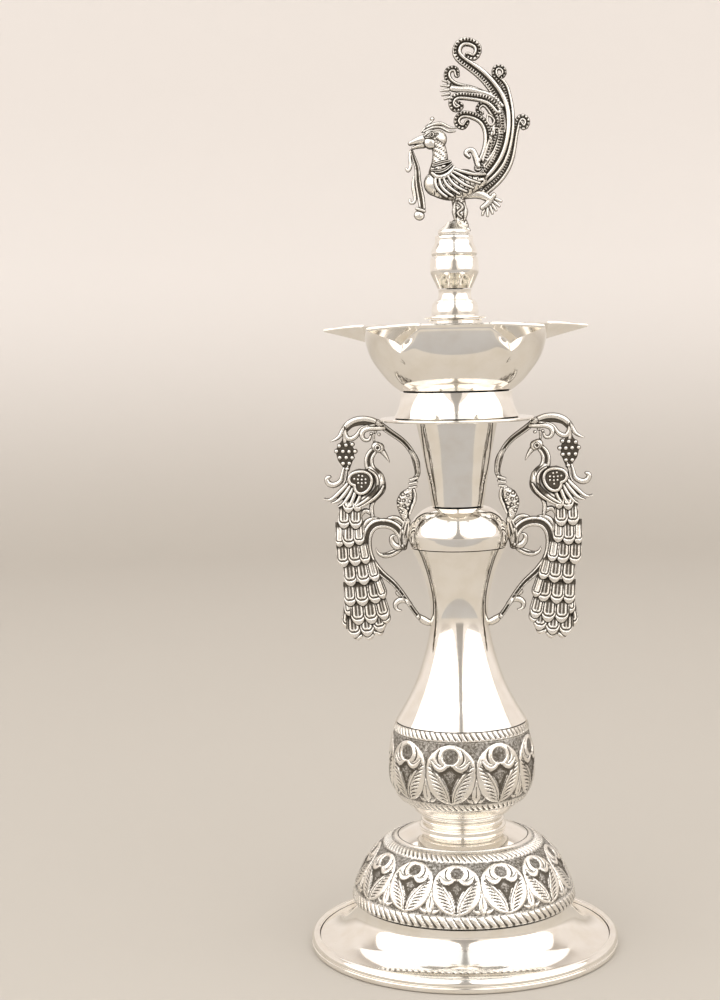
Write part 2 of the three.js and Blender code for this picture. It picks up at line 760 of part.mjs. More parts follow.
function columnKnob() {
  const radius = (share) => blend(columnWaistRadius, columnKnobRadius, share);
  const z = (share) => knobFoot + columnKnobHeight * share;
  const blind = knobFoot + screwEngagement / 2;
  return turned([
    [finialBore, knobFoot], [columnWaistRadius, knobFoot], [radius(0.66), z(0.24)], [radius(1), z(0.33)],
    [radius(1), z(0.52)], [radius(0.86), z(0.61)], [radius(0.7), z(0.64)], [radius(0.84), z(0.67)],
    [radius(0.8), z(0.74)], [radius(0.2), z(0.88)], [radius(0.1), z(1)], [0, knobTop],
    [0, blind], [finialBore, blind],
  ], narrowFacets);
}

function finialScrew() {
  return turned(stud(finialScrewRadius, -1.5 * screwEngagement, knobFoot + screwEngagement / 2 - screwPlay),
    narrowFacets);
}

function finialPlinth() {
  return turned([
    [0, plinthFoot], [plinthRadius, plinthFoot], [plinthRadius, plinthFoot + plinthHeight * 0.35],
    [plinthRadius * 0.85, plinthFoot + plinthHeight * 0.5], [plinthRadius * 0.4, plinthTop], [0, plinthTop],
  ], narrowFacets / 2);
}

// Places on the finial are percentages: across from the axis to the outermost plume,
// and up from the plinth to the highest curl.
function onFinial([across, up]) {
  return [(finialReach * across) / 100, plinthTop + (finialHeight * up) / 100];
}

const finialPath = (places) => places.map(onFinial);

function finialBird(extra = 0) {
  const grow = { extra };
  const girth = (...shares) => shares.map((share) => share * finialGirth);
  return joined([
    limb(finialPath([[3, 0.5], [5, 6], [7, 13]]), girth(0.31, 0.4, 0.55), { depth: 0.8, extra }),
    limb(finialPath([[-34, 22], [-18, 20.5], [5, 20], [25, 19], [42, 17]]), girth(0.48, 0.96, 1.03, 0.7, 0.3),
      { depth: 0.85, extra, sides: 8 }),
    limb(finialPath([[-16, 26], [-13, 32], [-13, 38], [-16, 44]]), girth(0.78, 0.55, 0.43, 0.4),
      { depth: 0.9, extra }),
    limb(finialPath([[-15, 32], [-13, 35]]), girth(0.61, 0.57), grow),
    limb(finialPath([[-13, 45], [-24, 46], [-35, 45.5]]), girth(0.4, 0.55, 0.33), { depth: 0.8, extra }),
    limb(finialPath([[-33, 46], [-46, 45], [-60, 43]]), girth(0.33, 0.22, 0.1), grow),
    limb(finialPath([[-34, 50], [-26, 54], [-12, 54], [5, 50.5]]), girth(0.1, 0.15, 0.15, 0.1), grow),
    limb(finialPath([[-24, 50], [-27, 58]]), girth(0.1, 0.12), { extra, sides: 5 }),
    limb(finialPath([[30, 17], [43, 12], [49, 6]]), girth(0.3, 0.4, 0.19), grow),
  ]);
}

const plumes = [
  [[26, 20], [43, 17], [63, 24], [77, 34], [83, 45], [88, 53], [94, 57], [100, 55], [96, 51.5], [91, 53]],
  [[26, 20], [46, 22], [64, 31], [76, 45], [79, 59], [75, 70], [67, 77], [60, 81], [65, 85], [70, 81]],
  [[24, 22], [40, 25], [58, 34], [70, 50], [68, 64], [56, 74], [38, 82], [18, 88], [10, 94], [17, 99],
    [30, 97], [32, 92], [24, 91]],
  [[66, 44], [66, 55], [58, 64], [43, 69.5], [24, 73], [5, 75], [-4, 79], [-1, 84], [6, 82]],
  [[68, 50], [61, 60], [51, 66], [35, 68.5], [18, 70], [5, 68.5], [1, 65.5], [6, 62.5], [12, 64.5]],
  [[42, 24], [49, 37], [57, 48], [58, 56], [51, 62], [41, 64.5], [36, 61]],
  [[34, 23], [42, 33], [48, 44], [44, 53], [34, 58], [20, 60], [9, 58.5], [7, 54.5], [15, 54]],
  [[28, 22], [35, 30], [31, 37], [25, 40], [18, 38], [22, 34.5]],
  [[40, 24], [52, 34], [63, 43], [65, 50], [58, 53], [54, 49]],
];

function plumeFan() {
  const thick = [1.3 * plumeGirth, 1.1 * plumeGirth, plumeGirth, 0.8 * plumeGirth];
  const fan = joined(plumes.map((path) => limb(finialPath(path), thick, { depth: 1.2, stride: 5 })));
  return fan.subtract(finialBird(seam));
}

function beakVine() {
  const girth = (...shares) => shares.map((share) => share * vineStalk);
  const vine = joined([
    limb(finialPath([[-57, 44], [-54, 36], [-52, 28], [-50, 20], [-47, 12], [-47, 4]]),
      girth(0.7, 1, 1.4, 1.3, 1)),
    limb(finialPath([[-54, 37], [-57, 31], [-61, 28], [-63, 31]]), girth(0.6, 0.8, 0.6)),
    limb(finialPath([[-51, 24], [-54, 16], [-57, 11], [-54, 9]]), girth(0.6, 0.8, 0.6)),
    bead(onFinial([-47, 3]), 1.9 * vineStalk),
  ]);
  return vine.subtract(finialBird(seam));
}

// The lamp
const lamp = new THREE.Group();
const foot = new THREE.Group();
const stem = new THREE.Group();
const bowl = new THREE.Group();
const finial = new THREE.Group();
stem.position.z = neckTop + seam;
bowl.position.z = stem.position.z + trayTop + seam;
finial.position.z = bowl.position.z + pillarTop + seam;
lamp.add(foot, stem, bowl, finial);

piece(foot, 'foot_rim', footRim(), polishedSilver);
piece(foot, 'foot_skirt', footSkirt(), polishedSilver);
piece(foot, 'foot_dome', footDome(), chasedSilver);
piece(foot, 'foot_shoulder', footShoulder(), polishedSilver);
piece(foot, 'foot_bush', footBush(), steel);

piece(stem, 'stem_screw', stemScrew(), steel);
piece(stem, 'knop', knop(), chasedSilver);
piece(stem, 'vase', vase(), polishedSilver);
piece(stem, 'bulge', bulge(), polishedSilver);
piece(stem, 'funnel', funnel(), polishedSilver);
piece(stem, 'tray', tray(), polishedSilver);
piece(stem, 'tray_bush', trayBush(), steel);
handles(stem);

piece(bowl, 'bowl_screw', bowlScrew(), steel);
piece(bowl, 'bowl_spool', bowlSpool(), polishedSilver);
piece(bowl, 'bowl_boss', bowlBoss(), steel);
piece(bowl, 'bowl', lippedBowl(), polishedSilver);
piece(bowl, 'bowl_pillar', bowlPillar(), polishedSilver);

piece(finial, 'finial_screw', finialScrew(), steel);
piece(finial, 'column_base', columnBase(), polishedSilver);
piece(finial, 'column_knob', columnKnob(), polishedSilver);
piece(finial, 'finial_plinth', finialPlinth(), castSilver);
piece(finial, 'finial_peacock', geometryOf(finialBird()), castSilver);
piece(finial, 'plume_fan', geometryOf(plumeFan()), castSilver);
piece(finial, 'beak_vine', geometryOf(beakVine()), castSilver);

export default lamp;
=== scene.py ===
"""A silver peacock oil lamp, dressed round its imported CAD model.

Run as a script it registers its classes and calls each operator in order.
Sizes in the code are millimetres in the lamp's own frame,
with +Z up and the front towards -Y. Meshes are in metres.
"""

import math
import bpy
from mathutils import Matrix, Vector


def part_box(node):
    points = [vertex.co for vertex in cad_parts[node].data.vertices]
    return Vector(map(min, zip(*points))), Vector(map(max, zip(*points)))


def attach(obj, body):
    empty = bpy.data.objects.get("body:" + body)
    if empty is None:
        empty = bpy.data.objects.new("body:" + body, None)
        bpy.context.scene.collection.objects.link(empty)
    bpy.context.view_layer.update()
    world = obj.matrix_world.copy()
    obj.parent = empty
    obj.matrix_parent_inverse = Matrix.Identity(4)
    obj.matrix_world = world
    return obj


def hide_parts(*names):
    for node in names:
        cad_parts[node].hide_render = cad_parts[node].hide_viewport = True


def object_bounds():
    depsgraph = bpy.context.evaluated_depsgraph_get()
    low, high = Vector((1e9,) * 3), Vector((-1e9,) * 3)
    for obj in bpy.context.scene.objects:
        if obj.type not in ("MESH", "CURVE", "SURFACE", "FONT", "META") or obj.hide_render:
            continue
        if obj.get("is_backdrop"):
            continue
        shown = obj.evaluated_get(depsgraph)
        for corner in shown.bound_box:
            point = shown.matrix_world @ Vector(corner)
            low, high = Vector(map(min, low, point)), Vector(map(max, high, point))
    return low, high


bl_info = {
    "name": "Peacock Oil Lamp",
    "version": (1, 0, 0),
    "blender": (4, 5, 0),
    "location": "3D View > Sidebar > Lamp",
    "description": "Spun, chased and cast silver pieces of a standing oil lamp",
    "category": "Add Mesh",
}

import bmesh
import bpy
import numpy as np
from bpy.props import FloatProperty, FloatVectorProperty, IntProperty, PointerProperty
from bpy.types import Operator, Panel, PropertyGroup
from mathutils import Matrix, Vector

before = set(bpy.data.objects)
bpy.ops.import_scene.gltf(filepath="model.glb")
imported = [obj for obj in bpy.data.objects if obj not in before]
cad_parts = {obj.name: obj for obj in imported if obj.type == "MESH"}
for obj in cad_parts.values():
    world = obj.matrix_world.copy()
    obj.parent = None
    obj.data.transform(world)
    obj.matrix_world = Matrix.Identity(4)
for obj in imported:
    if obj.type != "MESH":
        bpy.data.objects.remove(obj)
cad_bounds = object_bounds()

MM = 0.001
TAU = 2 * math.pi
FINISHES = {
    "polished_silver": "Polished silver", "chased_silver": "Chased silver",
    "cast_silver": "Cast silver", "screw_steel": "Turned steel",
}


def heights_of(node):
    """The lowest and the highest place of a CAD node, in millimetres"""
    return [corner.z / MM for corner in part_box(node)]


def reach_of(node):
    """How far a CAD node reaches from the axis along X, in millimetres"""
    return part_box(node)[1].x / MM


def part_way(low, high):
    """A function from a share, 0 to 1, to the place that far on from low to high"""
    return lambda share: low + (high - low) * share


# Sizes and colours

def colour(name, description, default):
    return FloatVectorProperty(name=name, description=description, default=default,
                               subtype="COLOR", size=3, min=0, max=1)


def number(name, description, default, **limits):
    kind = IntProperty if isinstance(default, int) else FloatProperty
    return kind(name=name, description=description, default=default, **limits)


class SilverSettings(PropertyGroup):
    bright: colour("Bright silver", "Colour of polished silver", (0.955, 0.93, 0.885))
    # The oxide colour also paints the shade on stroke flanks, bead rims and tail feathers
    oxide: colour("Oxide", "Colour of the darkened hollows", (0.1, 0.085, 0.065))
    tarnish: colour("Tarnish", "Colour of silver with a breath of tarnish", (0.9, 0.86, 0.79))
    steel: colour("Steel", "Colour of the screw studs", (0.52, 0.52, 0.53))
    polish: number("Polish", "Roughness of the spun silver", 0.055, min=0, max=1)
    cast_roughness: number(
        "Cast roughness", "Roughness of the cast silver's high spots", 0.2, min=0, max=1)


class TurningSettings(PropertyGroup):
    facets: number("Facets", "Flats round each turned piece", 160, min=24, max=512)
    steps: number("Steps", "Steps along one stretch of an outline", 14, min=4, max=64)
    sheet: number("Sheet", "Thickness of the spun silver in millimetres", 1.0, min=0.3)
    seam: number(
        "Seam", "Gap that closes when two outlines meet, in millimetres", 0.004, min=0.0001)


class ChasingSettings(PropertyGroup):
    dome_motifs: number("Dome motifs", "Leaf medallions round the foot", 13, min=3)
    knop_motifs: number("Knop motifs", "Leaf medallions round the knop", 9, min=3)
    dome_strokes: number("Dome rope strokes", "Rope strokes over one medallion", 7, min=1)
    knop_strokes: number("Knop rope strokes", "Rope strokes over one medallion", 8, min=1)
    relief: number("Relief", "Height of the chased leaves in millimetres", 0.75, min=0)


class BowlSettings(PropertyGroup):
    lips: number("Lips", "Wick lips round the rim", 5, min=1)
    lip_reach: number("Lip reach", "From the axis to a lip's tip in millimetres", 47.4)
    lip_half_width: number("Lip half width", "Half a lip's mouth in millimetres", 7.7)
    lip_depth: number("Lip depth", "How deep a lip is pressed in millimetres", 5.9)


class CastingSettings(PropertyGroup):
    grain: number("Grain", "Step of the castings' relief in millimetres", 0.17, min=0.05)
    line: number("Line", "Width of the dark line round each stroke in millimetres", 0.2, min=0)
    # border sets the width of the dark flanks, partly oxide and partly painted shade
    border: number(
        "Border", "Width of the oxide on each stroke's flanks in millimetres", 0.42, min=0.01)
    bead_facets: number("Bead facets", "Subdivisions of a large bead", 3, min=1, max=4)


class StageSettings(PropertyGroup):
    # The darker ground is painted shade that offsets the stronger light on the floor
    ground: colour("Ground", "Colour of the floor and the sweep behind", (0.5, 0.463, 0.41))
    wall: colour("Wall", "Colour of the sweep's upper part", (0.83, 0.79, 0.76))
    panel_power: number("Panel power", "Power of each soft light", 9.4, unit="POWER")
    sky_strength: number("Sky strength", "Strength of the even light from above", 0.42)


# Lines

def fair(points, steps):
    """A line with even curvature through a few points"""
    points = np.asarray(points, float)
    count = len(points)
    if count < 3:
        share = np.linspace(0, 1, steps + 1)[:, None]
        return points[0] * (1 - share) + points[-1] * share
    gaps = np.linalg.norm(np.diff(points, axis=0), axis=1)
    knots = np.concatenate([[0], np.cumsum(gaps)])
    system = np.eye(count)
    right = np.zeros_like(points)
    for i in range(1, count - 1):
        before, after = gaps[i - 1:i + 1]
        system[i, i - 1:i + 2] = before, 2 * (before + after), after
        right[i] = 6 * ((points[i + 1] - points[i]) / after - (points[i] - points[i - 1]) / before)
    bend = np.linalg.solve(system, right)
    places = np.linspace(0, knots[-1], steps + 1)
    k = np.clip(np.searchsorted(knots, places, "right") - 1, 0, count - 2)
    gap = gaps[k][:, None]
    low = (knots[k + 1] - places)[:, None] / gap
    high = (places - knots[k])[:, None] / gap
    return (low * points[k] + high * points[k + 1]
            + ((low ** 3 - low) * bend[k] + (high ** 3 - high) * bend[k + 1]) * gap ** 2 / 6)


def outline(*stretches, steps=None):
    """One line of fair stretches that meet at corners, each going on from the one before it"""
    steps = steps or bpy.context.scene.lamp_turning.steps
    (start, *first), *others = stretches
    line = [start]
    for stretch in (first, *others):
        drawn = fair([line[-1], *stretch], steps if len(stretch) > 1 else STRAIGHT_STEPS)
        line.extend(map(tuple, drawn[1:]))
    return np.array(line)


def domed(outer, inner, low, high, fullness, steps):
    """A quarter of a superellipse from (outer, low) in to (inner, high)"""
    angle = np.linspace(0, math.pi / 2, steps + 1)
    across = np.clip(np.cos(angle), 0, 1) ** (2 / fullness)
    up = np.sin(angle) ** (2 / fullness)
    return list(zip(inner + (outer - inner) * across, low + (high - low) * up))


def normals_of(line):
    """The unit normals on the outer side of a [radius, height] line"""
    along = np.gradient(line, axis=0)
    along /= np.linalg.norm(along, axis=1)[:, None]
    return np.stack([along[:, 1], -along[:, 0]], axis=1)


def lined(line, thickness, every=1):
    """A closed outline: the outer line, then the inner face of its sheet back to the start"""
    inner = line - normals_of(line) * thickness
    kept = sorted({0, len(line) - 1, *range(0, len(line), every)})
    return np.concatenate([line, inner[kept][::-1]])


# Meshes

def mesh_piece(name, points, faces, hollow=None):
    """An object from points in millimetres, with the oxide and painted shade of each place as an
    attribute
    """
    mesh = bpy.data.meshes.new(name)
    mesh.from_pydata((np.asarray(points) * MM).tolist(), [], faces)
    mesh.validate()
    mesh.shade_smooth()
    if hollow is not None:
        layer = mesh.attributes.new("hollow", "FLOAT", "POINT")
        layer.data.foreach_set("value", np.asarray(hollow, np.float32))
    piece = bpy.data.objects.new(name, mesh)
    bpy.context.scene.collection.objects.link(piece)
    return piece


def ring_faces(columns, rows, left_out):
    """Quads between neighbouring columns, each a closed ring of rows, but for rows left out"""
    faces = []
    for c in range(columns - 1):
        for i in np.flatnonzero(~left_out).tolist():
            j = (i + 1) % rows
            faces.append((c * rows + i, (c + 1) * rows + i, (c + 1) * rows + j, c * rows + j))
    return faces


def sector(name, ring, share, columns=1, rise=0, hollow=None, turn=0.0):
    """A stretch of a turned shell, share of a full turn wide.

    ring is the closed outline, or one outline for each column, and rise lifts its places
    along the outline's own normals. turn is the sector's middle, in degrees from the front.
    """
    across = np.linspace(-1, 1, columns + 1)
    azimuth = (math.radians(turn) - math.pi / 2 + across * share * math.pi)[:, None]
    lines = np.broadcast_to(ring, (columns + 1, *np.shape(ring)[-2:]))
    normals = np.array([normals_of(line) for line in lines])
    places = lines + normals * np.broadcast_to(rise, lines.shape[:2])[:, :, None]
    points = np.stack([places[:, :, 0] * np.cos(azimuth), places[:, :, 0] * np.sin(azimuth),
                       places[:, :, 1]], axis=2)
    axis = np.abs(places[0, :, 0]) < 1e-6
    faces = np.array(ring_faces(columns + 1, len(axis), axis & np.roll(axis, -1)))
    used, faces = np.unique(faces, return_inverse=True)
    shade = None if hollow is None else hollow.ravel()[used]
    return mesh_piece(name, points.reshape(-1, 3)[used], faces.reshape(-1, 4).tolist(), shade)


def united(name, pieces):
    """Several objects as one, with the first one's material"""
    with bpy.context.temp_override(
            active_object=pieces[0], object=pieces[0],
            selected_objects=pieces, selected_editable_objects=pieces):
        bpy.ops.object.join()
    pieces[0].name = name
    return pieces[0]


def mirrored(piece, name):
    """A copy of a piece on the other side of the lamp"""
    mesh = piece.data.copy()
    mesh.transform(Matrix.Scale(-1, 4, Vector((1, 0, 0))))
    mesh.flip_normals()
    copy = bpy.data.objects.new(name, mesh)
    bpy.context.scene.collection.objects.link(copy)
    return copy


def set_down(piece, body, node, slot, crease=40):
    """Gives a finished piece its finish, its sharp edges and its place in the frame"""
    piece.data.materials.clear()
    piece.data.materials.append(finish_of(slot))
    piece.data.set_sharp_from_angle(angle=math.radians(crease))
    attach(piece, body)
    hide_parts(node)


# Node trees

class Value:
    """A node's output, as a term in a Python sum"""

    def __init__(self, graph, socket):
        self.graph, self.socket = graph, socket

    def out(self, name):
        return Value(self.graph, self.socket.node.outputs[name])

    def math(self, operation, *terms):
        return self.graph.node("ShaderNodeMath", {"operation": operation}, *terms)

    def __add__(self, other):
        return self.math("ADD", self, other)

    def __sub__(self, other):
        return self.math("SUBTRACT", self, other)

    def __rsub__(self, other):
        return self.math("SUBTRACT", other, self)

    def __mul__(self, other):
        return self.math("MULTIPLY", self, other)

    def __rtruediv__(self, other):
        return self.math("DIVIDE", other, self)

    def __pow__(self, power):
        return self.math("POWER", self, power)

    __radd__ = __add__
    __rmul__ = __mul__

    def between(self, low, high):
        """0 at low and below, 1 at high and above, smooth in between"""
        settings = {"interpolation_type": "SMOOTHSTEP"}
        return self.graph.node("ShaderNodeMapRange", settings, self, low, high)


class Graph:
    """A node tree while it is drawn up"""

    def __init__(self, tree):
        self.tree = tree

    def node(self, kind, settings=None, *values, **named):
        """A node from its type, its settings, and its sockets' values or links"""
        node = self.tree.nodes.new(kind)
        for key, value in (settings or {}).items():
            setattr(node, key, value)
        sockets = [socket for socket in node.inputs if socket.enabled]
        chosen = list(zip(sockets, values))
        for key, value in named.items():
            label = key.replace("_", " ").lower()
            chosen.append((next(s for s in sockets if s.name.lower() == label), value))
        for socket, value in chosen:
            if isinstance(value, Value):
                self.tree.links.new(value.socket, socket)
            elif value is not None:
                socket.default_value = value
        return Value(self, next((s for s in node.outputs if s.enabled), None))


def repeat_tree(name, inputs):
    """A Geometry Nodes tree with named inputs; returns its graph and a dict of them"""
    tree = bpy.data.node_groups.new(name, "GeometryNodeTree")
    tree.interface.new_socket("Geometry", in_out="OUTPUT", socket_type="NodeSocketGeometry")
    kinds = {"Geometry": "NodeSocketGeometry", **inputs, "Finish": "NodeSocketMaterial"}
    for label, kind in kinds.items():
        tree.interface.new_socket(label, in_out="INPUT", socket_type=kind)
    graph = Graph(tree)
    start = tree.nodes.new("NodeGroupInput")
    return graph, {label: Value(graph, start.outputs[label]) for label in kinds}


def end_tree(graph, instances, given, seam=None):
    """Makes the instances real, closes them where a seam is given, and sets the finish"""
    real = graph.node("GeometryNodeRealizeInstances", None, instances)
    if seam is not None:
        real = graph.node("GeometryNodeMergeByDistance", None, real, Distance=seam)
    done = graph.node("GeometryNodeSetMaterial", None, real, Material=given["Finish"])
    graph.node("NodeGroupOutput", None, done)
    return graph.tree


def round_axis_tree():
    """Copies of a sector set round the lamp's axis and closed into one shell"""
    graph, given = repeat_tree("Round the axis", {
        "Copies": "NodeSocketInt", "Seam": "NodeSocketFloat"})
    index = graph.node("GeometryNodeInputIndex")
    turn = graph.node("ShaderNodeCombineXYZ", None, Z=TAU / given["Copies"] * index)
    points = graph.node("GeometryNodePoints", None, given["Copies"])
    placed = graph.node("GeometryNodeInstanceOnPoints", None, points,
                        Instance=given["Geometry"], Rotation=turn)
    return end_tree(graph, placed, given, given["Seam"])


def marked_tree():
    """A pattern set on each point"""
    graph, given = repeat_tree("On marked points", {"Pattern": "NodeSocketObject"})
    pattern = graph.node("GeometryNodeObjectInfo", None, given["Pattern"]).out("Geometry")
    placed = graph.node("GeometryNodeInstanceOnPoints", None, given["Geometry"], Instance=pattern)
    return end_tree(graph, placed, given)


def tree_named(name, maker):
    return bpy.data.node_groups.get(name) or maker()


def grown(piece, tree, **values):
    """The plain mesh that a tree makes of a piece"""
    modifier = piece.modifiers.new("repeat", "NODES")
    modifier.node_group = tree
    for item in tree.interface.items_tree:
        if item.item_type == "SOCKET" and item.in_out == "INPUT" and item.name in values:
            modifier[item.identifier] = values[item.name]
    depsgraph = bpy.context.evaluated_depsgraph_get()
    mesh = bpy.data.meshes.new_from_object(
        piece.evaluated_get(depsgraph), preserve_all_data_layers=True, depsgraph=depsgraph)
    mesh.name = piece.name
    piece.modifiers.clear()
    start, piece.data = piece.data, mesh
    bpy.data.meshes.remove(start)
    return piece


def round_axis(piece, copies, slot):
    return grown(piece, tree_named("Round the axis", round_axis_tree), Copies=copies,
                 Seam=bpy.context.scene.lamp_turning.seam * MM, Finish=finish_of(slot))


def turned(name, ring, slot):
    """A whole turned piece from its closed outline"""
    facets = bpy.context.scene.lamp_turning.facets
    return round_axis(sector(name, ring, 1 / facets), facets, slot)


def put_turned(name, ring, body, node, slot="polished_silver"):
    set_down(turned(name, ring, slot), body, node, slot)


def put_sheet(name, line, every, body, node):
    """Turns a piece of polished sheet from its outer line and sets it down"""
    put_turned(name, lined(line, bpy.context.scene.lamp_turning.sheet, every), body, node)


def marked(name, places, pattern):
    """Copies of a pattern at [x, y, z] places, which use it up"""
    piece = grown(mesh_piece(name, places, []), tree_named("On marked points", marked_tree),
                  Pattern=pattern, Finish=finish_of("cast_silver"))
    bpy.data.objects.remove(pattern)
    return piece


def bead(radius, subdivisions):
    """A small ball with painted shade: dark where it turns away from the front and the back, so
    that only its middle stays bright
    """
    ball = bmesh.new()
    bmesh.ops.create_icosphere(ball, subdivisions=subdivisions, radius=radius)
    ball.verts.index_update()
    points = np.array([vertex.co for vertex in ball.verts])
    faces = [[vertex.index for vertex in face.verts] for face in ball.faces]
    ball.free()
    facing = np.abs(points[:, 1]) / radius
    return mesh_piece("bead", points, faces, np.clip((0.88 - facing) / 0.35, 0, 1))


# Relief: strokes raised on a flat field, as a chaser or a wax carver lays them

def rounded(q):
    return np.sqrt(np.clip(1 - q ** 2, 0, 1))


def bump(q, centre, width):
    return np.exp(-(((q - centre) / width) ** 2))


def plume(t, along):
    """A plume across its width, from -1 to 1: a smooth rail beside a band of punched dots"""
    rail = rounded((t + 0.52) / 0.4)
    beat = 0.5 - 0.5 * np.cos(TAU * along / 0.92)
    band = rounded((t - 0.52) / 0.42) ** 0.5 * (0.9 - 0.8 * beat * bump(t, 0.5, 0.26))
    return np.where(t < 0, rail, band * (1 - 0.55 * (1 - beat) * np.clip((t - 0.7) / 0.2, 0, 1)))


def speckled(q, along, side):
    """A round stroke with a punched skin"""
    spots = np.sin(TAU * along / 1.05) * np.sin(TAU * (1.1 * q * side + along / 2.3))
    return rounded(q) * (1 - 0.3 * np.clip(1.6 * spots - 0.5, 0, 1))


FORMS = {
    "round": lambda q, along, side: rounded(q),
    "field": lambda q, along, side: (1 - np.clip(q, 0, 1) ** 6) ** 0.5,
    "rails": lambda q, along, side: rounded(q) ** 0.6 * (1 - 0.62 * bump(q, 0, 0.36)),
    "grooves": lambda q, along, side: (
        rounded(q) * (0.78 + 0.22 * np.cos(3.2 * math.pi * q * side))),
    "channel": lambda q, along, side: (
        rounded(q) ** 0.5 * (0.3 + 0.7 * np.clip((q - 0.26) / 0.2, 0, 1))),
    "leaf": lambda q, along, side: rounded(q) * (0.72 + 0.28 * bump(q, 0, 0.22)),
    "plume": lambda q, along, side: plume(q * side, along),
    "plume_right": lambda q, along, side: plume(-q * side, along),
    "speckled": speckled,
    "sink": lambda q, along, side: -(1 - np.clip(q, 0, 1) ** 4),
    "cut": lambda q, along, side: np.zeros_like(q),
}


def blurred(values, cells):
    """Values smoothed over a few cells each way"""
    width = 2 * cells + 1
    for axis in (0, 0, 1, 1):
        sides = [(cells, cells) if axis == other else (0, 0) for other in (0, 1)]
        sums = np.cumsum(np.insert(np.pad(values, sides, "edge"), 0, 0, axis=axis), axis=axis)
        count = sums.shape[axis]
        values = (np.take(sums, range(width, count), axis)
                  - np.take(sums, range(count - width), axis)) / width
    return values


class Relief:
    """Heights in millimetres, with how far inside the work and how dark each place is"""

    def __init__(self, xs, ys, line, border):
        self.xs, self.ys, self.line, self.border = xs, ys, line, border
        self.x, self.y = np.meshgrid(xs, ys, indexing="ij")
        self.height = np.zeros_like(self.x)
        self.reach = np.full_like(self.x, -1.0)
        self.dark = np.zeros_like(self.x)

    def measured(self, path, margin):
        """The window round a path, and there the distance, place along it, share and side of it"""
        line = fair(path, 5 * (len(path) - 1)) if len(path) > 2 else np.array(path, float)
        low, high = line.min(axis=0) - margin, line.max(axis=0) + margin
        window = (slice(*np.searchsorted(self.xs, (low[0], high[0]))),
                  slice(*np.searchsorted(self.ys, (low[1], high[1]))))
        x, y = self.x[window], self.y[window]
        away = np.full(x.shape, np.inf)
        along = np.zeros(x.shape)
        side = np.ones(x.shape)
        gaps = np.linalg.norm(np.diff(line, axis=0), axis=1)
        starts = np.concatenate([[0], np.cumsum(gaps)])
        for i, gap in enumerate(gaps):
            (px, py), (dx, dy) = line[i], line[i + 1] - line[i]
            t = np.clip(((x - px) * dx + (y - py) * dy) / max(gap, 1e-9) ** 2, 0, 1)
            ex, ey = x - px - t * dx, y - py - t * dy
            distance = np.hypot(ex, ey)
            closer = distance < away
            away = np.where(closer, distance, away)
            along = np.where(closer, starts[i] + t * gap, along)
            side = np.where(closer, np.where(dx * ey > dy * ex, 1.0, -1.0), side)
        return window, away, along, along / starts[-1], side

    def stroke(self, form, path, widths, crown, lift=0.0):
        """Lays one stroke over the work. Its flanks darken, partly with oxide and partly with
        painted shade, and oxide stays where it meets the rest
        """
        window, away, along, share, side = self.measured(path, max(widths) + self.line)
        width = np.interp(share, np.linspace(0, 1, len(widths)), widths)
        q = np.clip(away / width, 0, 1)
        inside = away < width
        height, reach, dark = self.height[window], self.reach[window], self.dark[window]
        shape = FORMS[form](q, along, side)
        beside = 1 - (away - width) / max(self.line, 1e-6)
        if form in ("sink", "cut"):
            height[inside] += crown * shape[inside]
            if form == "sink":
                dark[inside] = np.maximum(dark, 1 - q ** 4)[inside]
            else:
                reach[inside] = -1
                rim = ~inside & (beside > 0)
                dark[rim] = np.maximum(dark, beside)[rim]
            return
        rise = lift + crown * shape
        rim = ~inside & (beside > 0) & (reach > 0) & (height < lift + crown)
        height[rim] -= (0.3 * beside)[rim]
        dark[rim] = np.maximum(dark, np.clip(beside, 0, 1) ** 0.5)[rim]
        meeting = np.where(reach > 0, np.clip(1 - np.abs(rise - height) / 0.3, 0, 1), 0)
        # Dark flanks: partly oxide, partly painted shade on the sides that turn away
        flank = np.clip(1 - (width - away) / np.minimum(self.border, 0.5 * width), 0, 1)
        low = np.clip(1.6 * (rounded(q) - shape), 0, 1) if form != "field" else np.ones_like(q)
        proud = inside & (rise > height)
        dark[proud] = np.maximum(flank, low)[proud]
        dark[inside] = np.maximum(dark, 0.85 * meeting)[inside]
        height[proud] = rise[proud]
        reach[...] = np.maximum(reach, width - away)

    def hollow(self, radius, depth):
        """How much oxide and painted shade each place holds, 0 to 1: the strokes' own dark, and
        oxide where a place lies below what is round it
        """
        cells = max(1, round(radius / (self.xs[1] - self.xs[0])))
        inside = (self.reach > 0).astype(float)
        around = blurred(self.height * inside, cells) / np.maximum(blurred(inside, cells), 0.05)
        return np.clip(np.maximum((around - self.height) / depth, self.dark), 0, 1)


# Each way the four corners of a cell can lie, as polygons of corners 0 to 3 and crossings 4 to 7
CELL_CASES = {
    1: [[0, 4, 7]], 2: [[1, 5, 4]], 3: [[0, 1, 5, 7]], 4: [[2, 6, 5]], 5: [[0, 4, 7], [2, 6, 5]],
    6: [[1, 2, 6, 4]], 7: [[0, 1, 2, 6, 7]], 8: [[3, 7, 6]], 9: [[0, 4, 6, 3]],
    10: [[1, 5, 4], [3, 7, 6]], 11: [[0, 1, 5, 6, 3]], 12: [[2, 3, 7, 5]], 13: [[0, 4, 5, 2, 3]],
    14: [[1, 2, 3, 7, 4]], 15: [[0, 1, 2, 3]],
}


